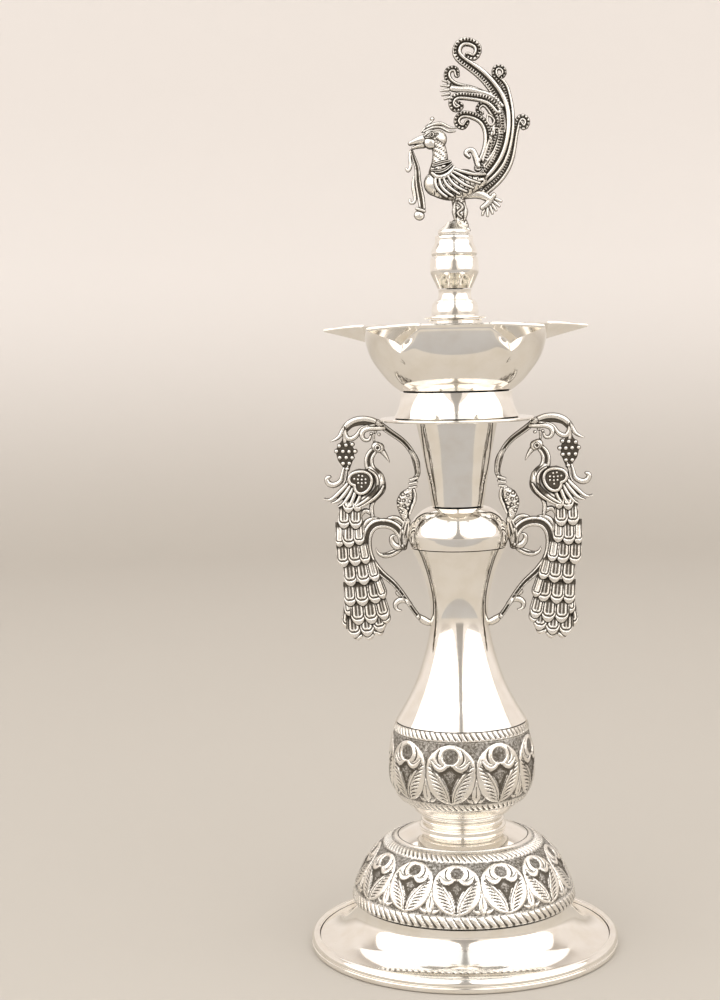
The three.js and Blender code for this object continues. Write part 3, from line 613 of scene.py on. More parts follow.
def cast(name, relief, hollow):
    """A closed casting in the XZ plane from a relief, the same on its back as on its front"""
    nx, nz = relief.x.shape
    reach = relief.reach
    inside = reach > 0
    count = nx * nz
    corner = np.arange(count).reshape(nx, nz)

    def crossings(a, b):
        """The places where the work's edge crosses the grid between two sets of corners"""
        fall = np.where(reach[a] == reach[b], 1, reach[a] - reach[b])
        share = np.clip(reach[a] / fall, 0.04, 0.96)
        x = relief.x[a] + share * (relief.x[b] - relief.x[a])
        z = relief.y[a] + share * (relief.y[b] - relief.y[a])
        return x.ravel(), z.ravel(), (np.maximum(hollow[a], hollow[b])).ravel()

    left, right = np.s_[:-1, :], np.s_[1:, :]
    low, high = np.s_[:, :-1], np.s_[:, 1:]
    hx, hz, hh = crossings(left, right)
    vx, vz, vh = crossings(low, high)
    h_id = count + np.arange(len(hx)).reshape(nx - 1, nz)
    v_id = count + len(hx) + np.arange(len(vx)).reshape(nx, nz - 1)
    base = np.where(inside, np.maximum(relief.height, 0.3 * np.clip(reach / 0.3, 0, 1)), 0)
    x = np.concatenate([relief.x.ravel(), hx, vx])
    z = np.concatenate([relief.y.ravel(), hz, vz])
    y = np.concatenate([base.ravel(), np.zeros(len(hx) + len(vx))])
    shade = np.concatenate([hollow.ravel(), hh, vh])
    ids = np.stack([corner[:-1, :-1], corner[1:, :-1], corner[1:, 1:], corner[:-1, 1:],
                    h_id[:, :-1], v_id[1:, :], h_id[:, 1:], v_id[:-1, :]], axis=-1)
    code = (inside[:-1, :-1] * 1 + inside[1:, :-1] * 2 + inside[1:, 1:] * 4 + inside[:-1, 1:] * 8)
    front = []
    for case, polygons in CELL_CASES.items():
        cells = ids[code == case]
        for polygon in polygons:
            front.extend(cells[:, polygon].tolist())
    used = np.unique(np.concatenate([np.ravel(face) for face in front]))
    renumber = np.full(len(x), -1)
    renumber[used] = np.arange(len(used))
    edge = used >= count
    behind = np.where(edge, np.arange(len(used)), len(used) + np.cumsum(~edge) - 1)
    faces = [renumber[face].tolist() for face in front]
    faces += [behind[face[::-1]].tolist() for face in faces]
    points = np.stack([x[used], -y[used], z[used]], axis=1)
    points = np.concatenate([points, (points * (1, -1, 1))[~edge]])
    shades = np.concatenate([shade[used], shade[used][~edge]])
    return mesh_piece(name, points, faces, shades)


def carved(name, strokes, radius=0.55, depth=0.5, grain=None):
    """A casting from a list of strokes"""
    settings = bpy.context.scene.lamp_castings
    grain = grain or settings.grain
    places = np.concatenate([np.array(path) for _, path, *_ in strokes])
    widest = max(max(widths) for _, _, widths, *_ in strokes) + FIELD_MARGIN
    low, high = places.min(axis=0) - widest, places.max(axis=0) + widest
    relief = Relief(np.arange(low[0], high[0], grain), np.arange(low[1], high[1], grain),
                    settings.line, settings.border)
    for stroke in strokes:
        relief.stroke(*stroke)
    return cast(name, relief, relief.hollow(radius, depth))


def dot(x, z, half, crown, lift):
    """A round dot, as a very short stroke"""
    return ("round", [(x, z), (x + 0.05, z)], [half, half], crown, lift)


def circle(x, z, radius, points=14):
    return [(x + radius * math.cos(TAU * k / points), z + radius * math.sin(TAU * k / points))
            for k in range(points + 1)]


# Castings, as strokes of a carver: form, path of [outward, height], half widths, crown and lift

VINE_ARM = [
    ("field", [(37.4, 177.0), (35.5, 178.7), (32.5, 179.3), (29, 179.3), (26.5, 178.3)], [0.9, 1,
     0.9, 0.9, 0.8], 0.5, 0),
    ("channel", [(26.6, 179.3), (24, 177.2), (21.4, 175.3), (18.8, 173.4), (16.6, 171.1),
     (15.1, 168.8), (13.9, 166.3), (13.4, 163.7), (13.5, 161.4), (14.2, 160.3)], [1.15, 1.1, 1.05,
     1, 0.95, 0.95, 0.95, 0.9, 0.85], 1.2, 0),
    ("leaf", [(15.9, 169.8), (14.6, 167.8), (13.8, 165.4), (13.5, 163), (13.8, 160.7)], [0.3, 1.1,
     1.25, 1, 0.7], 1.3, 0.1),
    ("round", [(17.3, 145.4), (17.6, 147.1), (17.9, 148.8)], [1.01, 1.08, 1.01], 1.2, 0),
    ("rails", [(18.3, 148.2), (17.7, 145.8), (17.4, 142.7)], [1.01, 0.94, 0.88], 1, 0),
    ("speckled", [(15.8, 156.6), (17.2, 154.3), (18.2, 151.9), (18.3, 149.5), (18, 147.1)], [1.01,
     2.43, 2.63, 1.95, 1.18], 1.7, 0),
    ("round", [(14.8, 156.6), (14.3, 154.2), (15.2, 151.2), (16.4, 148.1)], [0.47, 0.57, 0.57,
     0.4], 0.9, 0.7),
    ("round", [(15.9, 159.8), (13.5, 160.5)], [0.51, 0.51], 1, 0.6),
    ("round", [(16.1, 158.5), (13.8, 159)], [0.51, 0.51], 1, 0.6),
    ("round", [(16.3, 157.1), (14.1, 157.5)], [0.51, 0.51], 1, 0.6),
    ("round", [(42.7, 173.2), (41.3, 173.7), (39.8, 174.7), (38.7, 176.3), (37.2, 178.4),
     (35.1, 179.9), (32.6, 180.6), (29.9, 180.5), (27.3, 179.7), (25.5, 178.7)], [0.25, 0.6, 0.85,
     1, 1.1, 1.1, 1.05, 1, 0.95, 0.9], 1.2, 0),
    ("round", [(37.7, 178), (37.7, 175.8), (36.6, 174), (34.6, 174.4), (33.2, 175.9),
     (32.2, 177.3), (30.3, 178.1), (27.7, 178.5)], [0.6, 0.9, 0.95, 0.9, 0.75, 0.6, 0.5, 0.4], 1.1,
     0.1),
    ("round", [(24.5, 177.4), (27.1, 177.3), (29.7, 177.3), (31.5, 176.5), (32, 175.1),
     (31.3, 173.7), (29.7, 173.6), (29.1, 174.7)], [0.7, 0.8, 0.85, 0.9, 0.9, 0.85, 0.7, 0.5], 1.1,
     0.3),
]
SCROLL_BRACKET = [
    ("grooves", [(17.3, 145.8), (18.2, 142.4), (18.6, 139.3), (18.5, 136.9)], [1.21, 1.95, 2.02,
     1.15], 1.5, 0),
    ("round", [(19.3, 136.8), (21.1, 135.5), (23.3, 134.5), (25.6, 134.2), (27.2, 135),
     (27.9, 136.6)], [0.9, 1.1, 1.15, 1, 0.6, 0.2], 1, 0),
    ("sink", [(20.6, 136), (23.2, 134.8), (25.6, 134.6)], [0.2, 0.4, 0.2], 0.4, 0),
    ("round", [(18.5, 137.3), (20.9, 137.1), (22.5, 138.9), (22.5, 140.6), (21.1, 141.2)], [1.1,
     1.25, 1.1, 0.8, 0.3], 1.2, 0.1),
    ("round", [(25.3, 145.6), (23.2, 146.8), (20.6, 146.8), (18.7, 145.3)], [0.34, 0.75, 0.85,
     0.7], 0.9, 0),
    ("round", [(32.3, 142.2), (31.2, 145.3), (28.9, 146.7), (26.9, 146.6), (25.3, 145.7)], [0.5,
     1.15, 0.95, 0.6, 0.34], 1, 0),
    ("channel", [(18.8, 137.6), (19.1, 140.3), (20.7, 143.3), (23.1, 144.8), (25.8, 145.2),
     (28.2, 144.7), (30.1, 142.9), (31, 140.2), (30.9, 136.4), (29.8, 132.8), (27.8, 129.9),
     (25.4, 127.4), (22.6, 125), (20.1, 122.1), (17.8, 118.8), (15.8, 115.7), (13.8, 112.9)],
     [1.35, 1.6, 1.7, 1.75, 1.8, 1.8, 1.75, 1.65, 1.5, 1.35, 1.2, 1.05, 0.95, 0.9, 0.85, 0.8,
     0.85], 1.3, 0.1),
    ("round", [(16.6, 117.4), (18.5, 118.7), (20.5, 118.6), (21.7, 117.3), (21.2, 115.6),
     (19.8, 115.2)], [0.7, 0.95, 1.1, 1, 0.7, 0.3], 1, 0.1),
    ("round", [(18.6, 120.3), (20.2, 120.5), (21.1, 121.3), (20.1, 122.4)], [0.5, 0.7, 0.6, 0.3],
     0.7, 0),
    ("round", [(13.8, 113.2), (12.1, 111.8), (10.8, 111.1)], [0.88, 1.35, 1.28], 1.3, 0),
]
PEACOCK = [
    ("round", [(28.4, 153.1), (29.2, 151), (29.1, 148.3), (28.8, 147)], [0.88, 0.8, 0.9, 0.7], 1.2,
     0),
    ("round", [(32.7, 147.7), (31.5, 149.5), (30, 149), (28.6, 147.3)], [0.4, 0.9, 0.85, 0.5], 1,
     0),
    ("round", [(24.9, 158.8), (24.9, 156.9), (26, 154.9), (27.7, 153.1)], [0.74, 0.67, 0.54, 0.4],
     1.1, 0),
    ("field", [(33, 158), (36.2, 155.8), (39.8, 154.6)], [2.4, 3.1, 1.4], 0.9, 0),
    ("round", [(29.2, 163.3), (27.5, 160.5), (27.3, 157.8), (29, 155.1), (32.4, 153.1),
     (35, 151.9)], [1.82, 2.83, 3.03, 2.7, 1.9, 0.9], 2.2, 0),
    ("rails", [(27.6, 170.3), (29, 168.8), (29.8, 166.6), (29.5, 164.2), (28, 161.4)], [1.3, 1.55,
     1.65, 1.8, 2.2], 1.6, 0.4),
    ("round", [(27.2, 171.2), (26.2, 170.8)], [1.75, 1.75], 1.6, 0.7),
    ("round", [(25.2, 169.6), (23.9, 167.8), (22.9, 165.9)], [1.01, 0.67, 0.2], 1.1, 0.3),
    ("round", [(27.8, 172.1), (28, 173.8), (27.9, 175.4)], [0.5, 0.4, 0.4], 0.7, 0),
    ("round", [(36.3, 160), (37.5, 158.4), (39.5, 156.4), (41.8, 154.3), (43.8, 153.4),
     (45.2, 153.8)], [0.5, 0.8, 0.85, 0.8, 0.6, 0.3], 1.2, 0.9),
    ("round", [(35.8, 158.9), (37.2, 156.7), (38.9, 154.6), (41, 152.9), (42.7, 152.4)], [0.5, 0.8,
     0.85, 0.7, 0.3], 1.3, 1),
    ("round", [(35.1, 158), (36.1, 155.8), (37.6, 153.5), (39.2, 151.8), (40.5, 151.1)], [0.5, 0.8,
     0.8, 0.65, 0.3], 1.3, 1.1),
    ("round", [(34.2, 157.1), (34.9, 155), (35.9, 152.7), (37.2, 151), (38, 150.1)], [0.5, 0.8,
     0.8, 0.65, 0.3], 1.4, 1.2),
    ("round", [(32.9, 155.6), (33.4, 153.7), (34.5, 151.8), (35.9, 150.3)], [0.5, 0.75, 0.75, 0.3],
     1.4, 1.3),
    ("round", [(25, 158), (26.3, 155.8), (28.6, 153.6), (31.4, 151.8), (34.2, 150.5)], [0.4, 0.7,
     0.75, 0.65, 0.3], 1, 1.6),
    ("round", [(26.9, 158.3), (27.9, 156.2), (29.8, 154.3), (32.1, 152.6), (34.6, 151.2)], [0.4,
     0.65, 0.7, 0.6, 0.3], 1, 2),
    ("round", [(38.3, 164.1), (38.9, 161.8), (39.4, 160), (40.9, 158.7), (42.8, 158.5),
     (44, 159.6), (44.1, 160.8), (43.2, 161.2)], [0.5, 0.65, 0.8, 0.95, 1.05, 1.05, 0.9, 0.6], 1,
     0.2),
    ("round", [(36.9, 164.8), (37.4, 162.4), (37.7, 160.4), (38.6, 158.7)], [0.34, 0.44, 0.44,
     0.34], 0.8, 0.4),
    ("round", [(29.7, 163.5), (27.7, 161.9), (26.9, 159.3), (27.6, 156.5), (29.6, 154.6)], [0.4,
     0.51, 0.54, 0.51, 0.37], 0.7, 2.3),
    ("field", [(33.2, 160.4), (32, 158.8)], [3.3, 3.3], 0.5, 2.3),
    ("round", [(34.6, 158.4), (36.1, 159.2), (36.5, 160.7), (35.6, 162.2), (33.7, 162.9),
     (31.4, 162.9), (29.5, 161.8), (28.9, 159.9), (29.6, 157.6), (31.4, 155.9), (33.2, 155.7),
     (34.5, 157), (34.6, 158.4)], [0.62, 0.62], 0.9, 2.5),
]
# Tail feathers, from the bottom up: place of the tip outward and up, half width and tilt
FEATHERS = [
    (34.6, 105.2, 2.2, -4), (30.8, 105.2, 2.2, -4), (27.2, 106.6, 2.2, -10), (38.4, 109.2, 2.2, 8),
    (35.8, 106.2, 2.35, -2), (31.2, 106.7, 2.35, -4), (26.6, 108.2, 2.3, -10),
    (24.4, 111.0, 1.5, -14), (37.2, 113.8, 1.7, -4), (34.2, 110.7, 2.45, -4),
    (29.6, 111.0, 2.45, -7), (25.2, 112.4, 2.2, -14), (36.8, 117.2, 2.3, -4),
    (32.6, 117.2, 2.45, -6), (28.1, 118.0, 2.4, -9), (25.4, 119.6, 1.6, -18),
    (36.5, 124.0, 2.45, -5), (31.9, 124.4, 2.4, -8), (28.0, 125.6, 1.9, -15),
    (39.0, 130.5, 2.3, -3), (34.8, 130.9, 2.4, -4), (31.2, 131.6, 1.8, -10), (40.2, 137.5, 1.7, 0),
    (37.0, 137.2, 2.3, 0), (33.4, 138.0, 1.9, -3), (38.6, 143.7, 2.2, 2), (34.6, 143.5, 2.2, 0),
    (37.0, 149.0, 1.9, 2), (33.9, 149.4, 1.7, 0),
]
FEATHER_LENGTH = 8.2
TAIL_MARGIN = 2.0
FINE_GRAIN = 0.14
GRAPES = [
    (39.7, 171.7), (37.4, 171.9), (35.3, 172.1), (40.7, 169.9), (38.5, 169.8), (36.4, 169.7),
    (34.4, 169.7), (39.6, 167.7), (37.4, 167.7), (35.4, 167.6), (38.5, 165.7), (36.4, 165.7),
    (37.2, 163.8),
]
WING_BEADS = [
    (33.2, 161.7), (32.0, 161.5), (34.7, 160.6), (33.5, 160.4), (32.2, 160.3), (30.9, 160.4),
    (33.4, 159.2), (32.2, 159.1), (30.9, 159.2), (32.3, 157.9),
]
FINIAL_BIRD = [
    ("speckled", [(2.3, 244.6), (2.1, 247.4), (2, 250.2), (1.6, 253.2)], [2.7, 1.8, 2.3, 2.3], 2,
     0),
    ("leaf", [(0.6, 246.2), (0.2, 249.2), (0.6, 252)], [0.4, 0.8, 0.5], 0.8, 1.2),
    ("leaf", [(3.6, 246.2), (4, 249), (3.4, 251.8)], [0.4, 0.9, 0.5], 0.8, 1.2),
    ("leaf", [(1.6, 252), (3, 250.2), (1.4, 248.6), (2.6, 247)], [0.4, 0.6, 0.5, 0.4], 0.7, 1.7),
    ("round", [(0.4, 245.6), (-3.3, 243.1)], [0.9, 0.6], 1, 0),
    ("round", [(2.7, 245.6), (5, 242.9)], [0.9, 0.6], 1, 0),
    ("round", [(2.9, 254.2), (6.2, 254.8), (9.4, 254.4), (11.6, 253.2)], [1.3, 1.6, 1.6, 1.3], 1.6,
     0),
    ("speckled", [(-5.6, 258.4), (-3.6, 257.9), (-0.6, 257.7), (4, 258.4), (9.2, 258.9)], [4.2,
     4.9, 5.2, 4.4, 2.2], 4, 0),
    ("speckled", [(-4.4, 262.2), (-4.2, 266.2), (-4.4, 269.4), (-5.3, 272.1)], [3.7, 2.8, 2.4,
     2.3], 3, 0.2),
    ("round", [(-4.9, 273), (-7, 273.4)], [3.1, 2.85], 2.7, 0.4),
    ("round", [(-7.4, 271.8), (-7, 271.8)], [2, 2], 1.4, 1.9),
    ("round", [(-9.6, 271.2), (-11.6, 270.8), (-13.1, 270.3)], [1.1, 0.85, 0.55], 1.4, 0.2),
    ("round", [(-9.4, 273.1), (-11.9, 272.6), (-14.1, 271.8)], [1.7, 1.2, 0.75], 1.8, 0.3),
    ("round", [(-10, 275.6), (-8.7, 277.1), (-7.4, 278.3), (-6.5, 279.2)], [0.4, 0.4, 0.35, 0.3],
     0.7, 0),
    ("round", [(-8.4, 277), (-5.4, 278), (-3.4, 278), (-1.8, 277.2), (-0.1, 276.6), (1.4, 276.6)],
     [0.5, 0.65, 0.7, 0.6, 0.5, 0.3], 0.9, 0),
    ("round", [(-9.4, 275.6), (-6.7, 276.7), (-3.4, 276.6), (-1.1, 275.4), (0.9, 275.5)], [0.4,
     0.55, 0.55, 0.5, 0.3], 0.8, 0.1),
]
BREAST_RIBS = [
    [(-5.8, 259.8), (-5.7, 257.7), (-4.4, 255.6), (-2.1, 253.8)],
    [(-4.5, 259.9), (-4, 257.6), (-2.4, 255.6), (-0.1, 254)],
    [(-3.2, 260.2), (-2.4, 258.2), (-0.4, 256.2), (2.1, 254.6)],
    [(-1.8, 260.7), (-0.4, 258.5), (1.9, 256.6), (4.4, 255.4)],
    [(-0.8, 261.3), (1.3, 259.5), (3.6, 257.8), (6.6, 256.5)],
    [(0, 262.1), (3.1, 260.4), (5.9, 259), (8.8, 258)],
    [(0.5, 262.9), (4, 261.7), (6.8, 261), (10.6, 260.9)],
]
COLLARS = [
    [(-6.4, 264.2), (-3.8, 264.9), (-0.9, 265.5)],
    [(-6.8, 262.3), (-4.2, 262.2), (-1.8, 263.2), (-0.3, 264.4)],
]
COLLAR_FRONT = [(-6.8, 261.6), (-5.5, 260.5), (-3.3, 260.4), (-1, 261.6), (0.4, 263.4)]
EYELIDS = [
    [(-9.3, 273.9), (-7.1, 275.2), (-4.8, 274.6)],
    [(-8.9, 273.4), (-6.7, 273.3), (-4.9, 274.3)],
]
PLUMES = [
    ("plume", [(10.5, 255.3), (15.6, 259.8), (18.9, 265.6), (20.3, 272.1), (21.4, 277),
     (23.1, 279.5), (24.7, 278.2), (23.7, 276.2), (22.4, 277.6)], [1.01, 1.01, 1.01, 1.01, 0.94,
     0.88, 0.88, 0.81, 0.67]),
    ("plume", [(8.9, 257.6), (15.6, 264), (18.7, 272.1), (19.4, 280.3), (18.5, 286.8),
     (16.6, 291.1), (14.3, 293.7), (14.7, 295.7), (16.7, 295.6), (17.3, 293.7), (16, 292.7)],
     [1.01, 1.21, 1.21, 1.15, 1.08, 1.01, 0.94, 0.88, 0.81, 0.74, 0.61]),
    ("plume", [(8.2, 258.6), (14.3, 265.7), (17.4, 275.4), (16.8, 283.6), (13.9, 289.2),
     (9.4, 294.2), (4.5, 297.9), (1.9, 301.2), (3.3, 304.1), (6.2, 304.3), (8.8, 302),
     (7.5, 299.4), (5.5, 300.1)], [1.01, 1.35, 1.48, 1.48, 1.55, 1.62, 1.55, 1.42, 1.28, 1.21,
     1.15, 1.01, 0.81]),
    ("plume", [(16.7, 275.4), (15.2, 282.7), (10.9, 286.9), (6, 289.2), (1.1, 290.6),
     (-1.2, 292.9), (-0.8, 295.4), (1.2, 295.7), (1.8, 293.8)], [1.01, 1.21, 1.21, 1.05, 0.9, 0.9,
     0.94, 0.88, 0.74]),
    ("round", [(16.7, 283.3), (13.7, 286.1), (9.5, 288), (5.3, 288.9), (2.3, 289.1), (0.3, 289.4)],
     [0.5, 0.7, 0.75, 0.75, 0.85, 0.8]),
    ("plume_right", [(15.2, 282), (12.6, 284.8), (8.6, 286.2), (4.4, 286.8), (1, 286.4),
     (0, 284.7), (1.3, 282.7), (3, 283.6), (1.7, 284.6)], [1.01, 1.1, 1.1, 1.05, 1.0, 0.95, 0.9,
     0.81, 0.67]),
    ("plume_right", [(10.7, 265.8), (13.1, 272.3), (14.5, 278.1), (12.5, 282.4), (9.9, 284.1),
     (8.6, 282.2), (9.8, 281.2)], [1.01, 1.08, 1.08, 1.01, 0.94, 0.74, 0.6]),
    ("plume_right", [(8.3, 263.2), (11, 268.4), (11.8, 273.3), (10.2, 278.2), (5.9, 280.6),
     (2.6, 280.4), (1.6, 278.4), (3.5, 276.8), (4.9, 278.4)], [1.01, 1.21, 1.21, 1.15, 1.08, 1.01,
     0.94, 0.81, 0.67]),
    ("round", [(8.3, 263.9), (7.4, 267.5), (6.1, 269.2), (4.4, 268.2), (5.4, 266.9)], [0.75, 0.8,
     0.75, 0.7, 0.5]),
    ("plume_right", [(11, 263.8), (14.7, 269), (16, 272.8), (15.4, 276.5), (13.8, 276.5),
     (13.4, 274.5)], [0.88, 1.01, 1.01, 0.94, 0.81, 0.67]),
    ("round", [(11.8, 280.5), (11.6, 278.9), (12.8, 277.1), (13.9, 278.2), (12.9, 279.9),
     (11.8, 280.5)], [0.3, 0.3]),
]
BARBS = [
    [(-0.9, 291.5), (-2.9, 292.1)], [(-1.1, 290.3), (-3.5, 290.5)], [(-1.1, 289.1), (-3.6, 288.7)],
    [(-0.9, 287.8), (-3.2, 287.3)], [(-0.6, 286.6), (-2.4, 286)],
]
PLEATS = [
    [(10.6, 250.9), (9.6, 247.9)], [(11.3, 251), (11.3, 247.5)], [(12, 251.3), (12.9, 248.3)],
    [(12.5, 251.9), (14.1, 249.3)], [(12.9, 252.6), (15.2, 250.6)], [(13.1, 253.4), (15.8, 252.2)],
]
CUFF = [(9.6, 250.2), (11.4, 251.6), (13.4, 254.2)]
BEAK_VINE = [
    ("channel", [(-13.6, 269.6), (-12.7, 266.5), (-11.9, 263.7), (-11.7, 260.7), (-11.4, 257.4),
     (-10.8, 254), (-10.4, 250.5)], [0.5, 0.8, 0.95, 1.05, 1.2, 1.3, 1.15], 1, 0),
    ("round", [(-14, 269.4), (-14.2, 266.4), (-14.2, 263.8), (-15, 262.8), (-15.5, 263.7)], [0.4,
     0.55, 0.6, 0.6, 0.4], 0.7, 0),
    ("round", [(-12.9, 261.1), (-13.3, 257.8), (-12.8, 254.2), (-13.3, 252.3), (-14.3, 252.3),
     (-14.4, 253.4)], [0.4, 0.6, 0.7, 0.65, 0.55, 0.4], 0.7, 0),
    ("round", [(-11.5, 248.2), (-11.3, 248.1)], [1.7, 1.7], 1.6, 0),
    ("round", [(-12.3, 250.4), (-9.7, 249.5)], [0.54, 0.54], 1, 0.7),
]
PEACOCK_EYE = (26.7, 170.9)
CREST_BEADS = [(28.8, 175.6), (27.4, 176.2), (26.2, 175.3)]
BUD_BUMPS = [
    (18.5, 155.0), (19.8, 153.3), (20.1, 151.3), (19.3, 149.2), (16.8, 154.6), (16.2, 152.6),
    (16.9, 150.2), (18.2, 152.9), (18.1, 150.9),
]
FINIAL_EYE = (-6.8, 274.3)
FINIAL_KNOB = (-6.6, 279.7)
PLUME_FULLNESS = 1.35
BUD_DOT = (0.52, 0.45, 1.45)    # half width, crown and lift of a dot, here and below
PEACOCK_PUPIL = (0.35, 0.4, 2.0)
FINIAL_PUPIL = (0.36, 0.5, 2.6)
WING_BEAD, CREST_BEAD, KNOB_BEAD, BERRY = 0.5, 0.62, 0.75, 0.82    # radii
WING_FACE, BERRY_OUT = 2.9, 0.62    # from the handle's middle plane out to their middles
FIELD_MARGIN = 0.6    # empty field round the strokes of a casting
STALK = [
    ("field", [(37.7, 173.4), (37.8, 170.4), (37.6, 167), (37.2, 163.7)], [1.2, 3.3, 2.7, 0.9],
     0.5, 0),
    ("round", [(38, 175.6), (37.8, 173)], [0.7, 0.7], 0.9, 0),
]

# Turned and chased work, in millimetres, as outlines of [radius, height] above a piece's own
# foot. A straight stretch has a few steps of its own.
STRAIGHT_STEPS = 3
RIM_WIDTH = 2.8
SKIRT_NECK = 36.9
NECK = 14.0
# Rings of the neck: out from the neck, and share of its height
NECK_RINGS = [
    [(0.75, 0.08), (0.75, 0.2), (0.1, 0.29)], [(-0.9, 0.34), (-0.1, 0.42)],
    [(0.3, 0.53), (-0.1, 0.63)], [(-0.9, 0.7), (0.1, 0.77)], [(0.65, 0.86), (0.4, 1)],
]
DOME_RADII = (38.3, 22.4)
DOME_PATTERN = (6.0, 23.9)
DOME_COLUMNS = 60
# Rope borders: lower and upper edge along the outline, lean of a stroke, half width of its drop
DOME_BORDERS = [(1.5, 5.7, 2.2, 0.62), (24.2, 27.9, 2.0, 0.42)]
KNOP = [(16.3, 0), (21.2, 4.2), (24.4, 9.9), (25.0, 15.1), (24.5, 22.2), (22.4, 30.8)]
KNOP_PATTERN = (9.7, 30.9)
KNOP_COLUMNS = 68
KNOP_BORDERS = [(6.0, 9.4, 1.5, 0.44), (31.2, 34.6, 1.4, 0.38)]
KNOP_BORE = 5.3
KNOP_FLOOR = (16.2, 1.4)    # radius and height of the floor, and of the boss on it
KNOP_BOSS = (7.0, 6.8)
VASE = [
    (22.2, 0), (17.2, 8.6), (13.1, 18.9), (10.6, 28.9), (9.8, 38.6), (11.9, 49.0), (14.0, 54.6),
]
VASE_TOP = 16.2
BOWL_WALL = [
    (18.6, 0), (21.5, 2.2), (25.3, 6.5), (28.5, 11.3), (30.1, 16), (30.7, 19.5), (30.9, 22.5),
]
BOWL_DEPTH = 22.8
LIP_DROOP = 1.4
LIP_SWELL = (1.3, 7.5)    # how far the wall swells under a lip, and how high up it does
LIP_COLUMNS = 64
COLUMN_BORE = 3.3
THREAD_PITCH = 1.5
THREAD_DEPTH = 0.75
THREAD_COLUMNS = 36

# Camera and lights in metres and degrees, the sweep and the cards in millimetres
CAMERA_LENS = 65.3
CAMERA_PLACE = (0, -0.6111, 0.2094)
CAMERA_ANGLES = (5.25, -3.10, -1.14)
SKY_COLOUR = (1.0, 0.96, 0.9, 1.0)
SWEEP_RADIUS, SWEEP_BEND, SWEEP_HEIGHT, SWEEP_SIDES = 1600, 500, 2400, 96
PANEL_AZIMUTH, PANEL_DISTANCE, PANEL_HEIGHT, PANEL_AIM = 56, 1.05, 0.78, 0.2
PANEL_SIZE, OVERHEAD_SIZE = (2.4, 1.3), (1.04, 2.6)
OVERHEAD_ASIDE, OVERHEAD_FRONT, OVERHEAD_HEIGHT, OVERHEAD_SHARE = 0.56, -0.05, 1.25, 0.77
FRONT_CARD_COLOUR, GAP_CARD_COLOUR = (0.37, 0.36, 0.35), (0.45, 0.44, 0.43)
FRONT_CARD = [(-1500, -1300, 4), (1500, -1300, 4), (1200, -220, 4), (-1200, -220, 4)]
GAP_CARD = [(-260, -950, 100), (260, -950, 100), (80, -950, 500), (60, -950, 1600),
            (-60, -950, 1600), (-80, -950, 500)]


# Chased work

# One leaf medallion, as places across (-1 to 1) and up (0 to 1) its sector, half widths in
# millimetres, crown and lift. Its other half is the mirror of each stroke off the middle.
MEDALLION = [
    ("cut", [(0, 0.64), (0, 0.5), (0, 0.34), (0, 0.2)], [0.3, 2.0, 2.9, 2.0, 1.2, 0.6, 0.2], 0, 0),
    ("cut", [(0, 0.52), (-0.22, 0.51), (-0.43, 0.515)], [1.3, 1.3, 0.5], 0, 0),
    ("sink", [(0, 0.22), (0, 0.03)], [0.3, 0.24], 0.4, 0),
    ("round", [(-0.78, 0.64), (-0.62, 0.57), (-0.46, 0.475), (-0.26, 0.345), (-0.11, 0.2),
     (-0.05, 0.06)], [0.3, 0.42, 0.46, 0.42, 0.36, 0.25], 0.35, 0.42),
    ("round", [(-0.74, 0.71), (-0.58, 0.625), (-0.38, 0.59), (-0.18, 0.635), (-0.02, 0.71)], [0.3,
     0.75, 0.85, 0.7, 0.3], 0.4, 0.42),
    ("sink", [(-0.76, 0.655), (-0.6, 0.56), (-0.38, 0.515), (-0.18, 0.57), (0, 0.66)], [0.15, 0.26,
     0.3, 0.26, 0.2], 0.4, 0),
    ("sink", [(-0.42, 0.9), (-0.52, 0.8), (-0.48, 0.7), (-0.34, 0.655)], [0.12, 0.4, 0.42, 0.15],
     0.45, 0),
    ("sink", [(1, 0.72), (1, 0.55), (1, 0.36)], [0.2, 0.3, 0.2], 0.7, 0),
]
# Up and across: the outline of the plate, and the two edges of a leaf
PLATE = [
    (0, 0.05), (0.05, 0.42), (0.15, 0.7), (0.33, 0.93), (0.51, 0.99), (0.7, 0.95), (0.83, 0.76),
    (0.92, 0.48), (0.96, 0.25), (0.975, 0),
]
LEAF_INSIDE = [(0.04, 0.04), (0.2, 0.11), (0.36, 0.27), (0.49, 0.47), (0.6, 0.62)]
LEAF_OUTSIDE = [(0.04, 0.46), (0.15, 0.7), (0.33, 0.92), (0.5, 0.98), (0.6, 0.98)]
LEAF_RIBS = 9
MEDALLION_RING = (0.79, 3.2, 0.42)   # place up the sector, radius and half width of the ring
MEDALLION_BOSS = 2.8
DROP = [
    ("round", [(1, 0.44), (1, 0.3), (1, 0.17), (1, 0.08)], [0.15, 0.7, 1.6, 1.45], 0.5, 0),
    ("round", [(0.86, 0.05), (0.75, 0.06), (0.63, 0.1)], [0.75, 0.5, 0.15], 0.4, 0),
    ("sink", [(1, 0.32), (1, 0.13)], [0.16, 0.3], 0.5, 0),
]
GROUND_DARK = 0.45


def even(line, step):
    """The same outline with its points about a step apart"""
    lengths = np.concatenate([[0], np.cumsum(np.linalg.norm(np.diff(line, axis=0), axis=1))])
    places = np.linspace(0, lengths[-1], max(2, round(lengths[-1] / step) + 1))
    return np.stack([np.interp(places, lengths, line[:, i]) for i in (0, 1)], axis=1), places


def lay_mirrored(relief, strokes, half, low, high):
    """Strokes given as shares of a sector, and their mirrors about its middle"""
    for form, path, *rest in strokes:
        for side in (1, -1):
            if side < 0 and set(path) == {(-across, up) for across, up in path}:
                continue
            places = [(side * across * half, low + (high - low) * up) for across, up in path]
            relief.stroke(form, places, *rest)


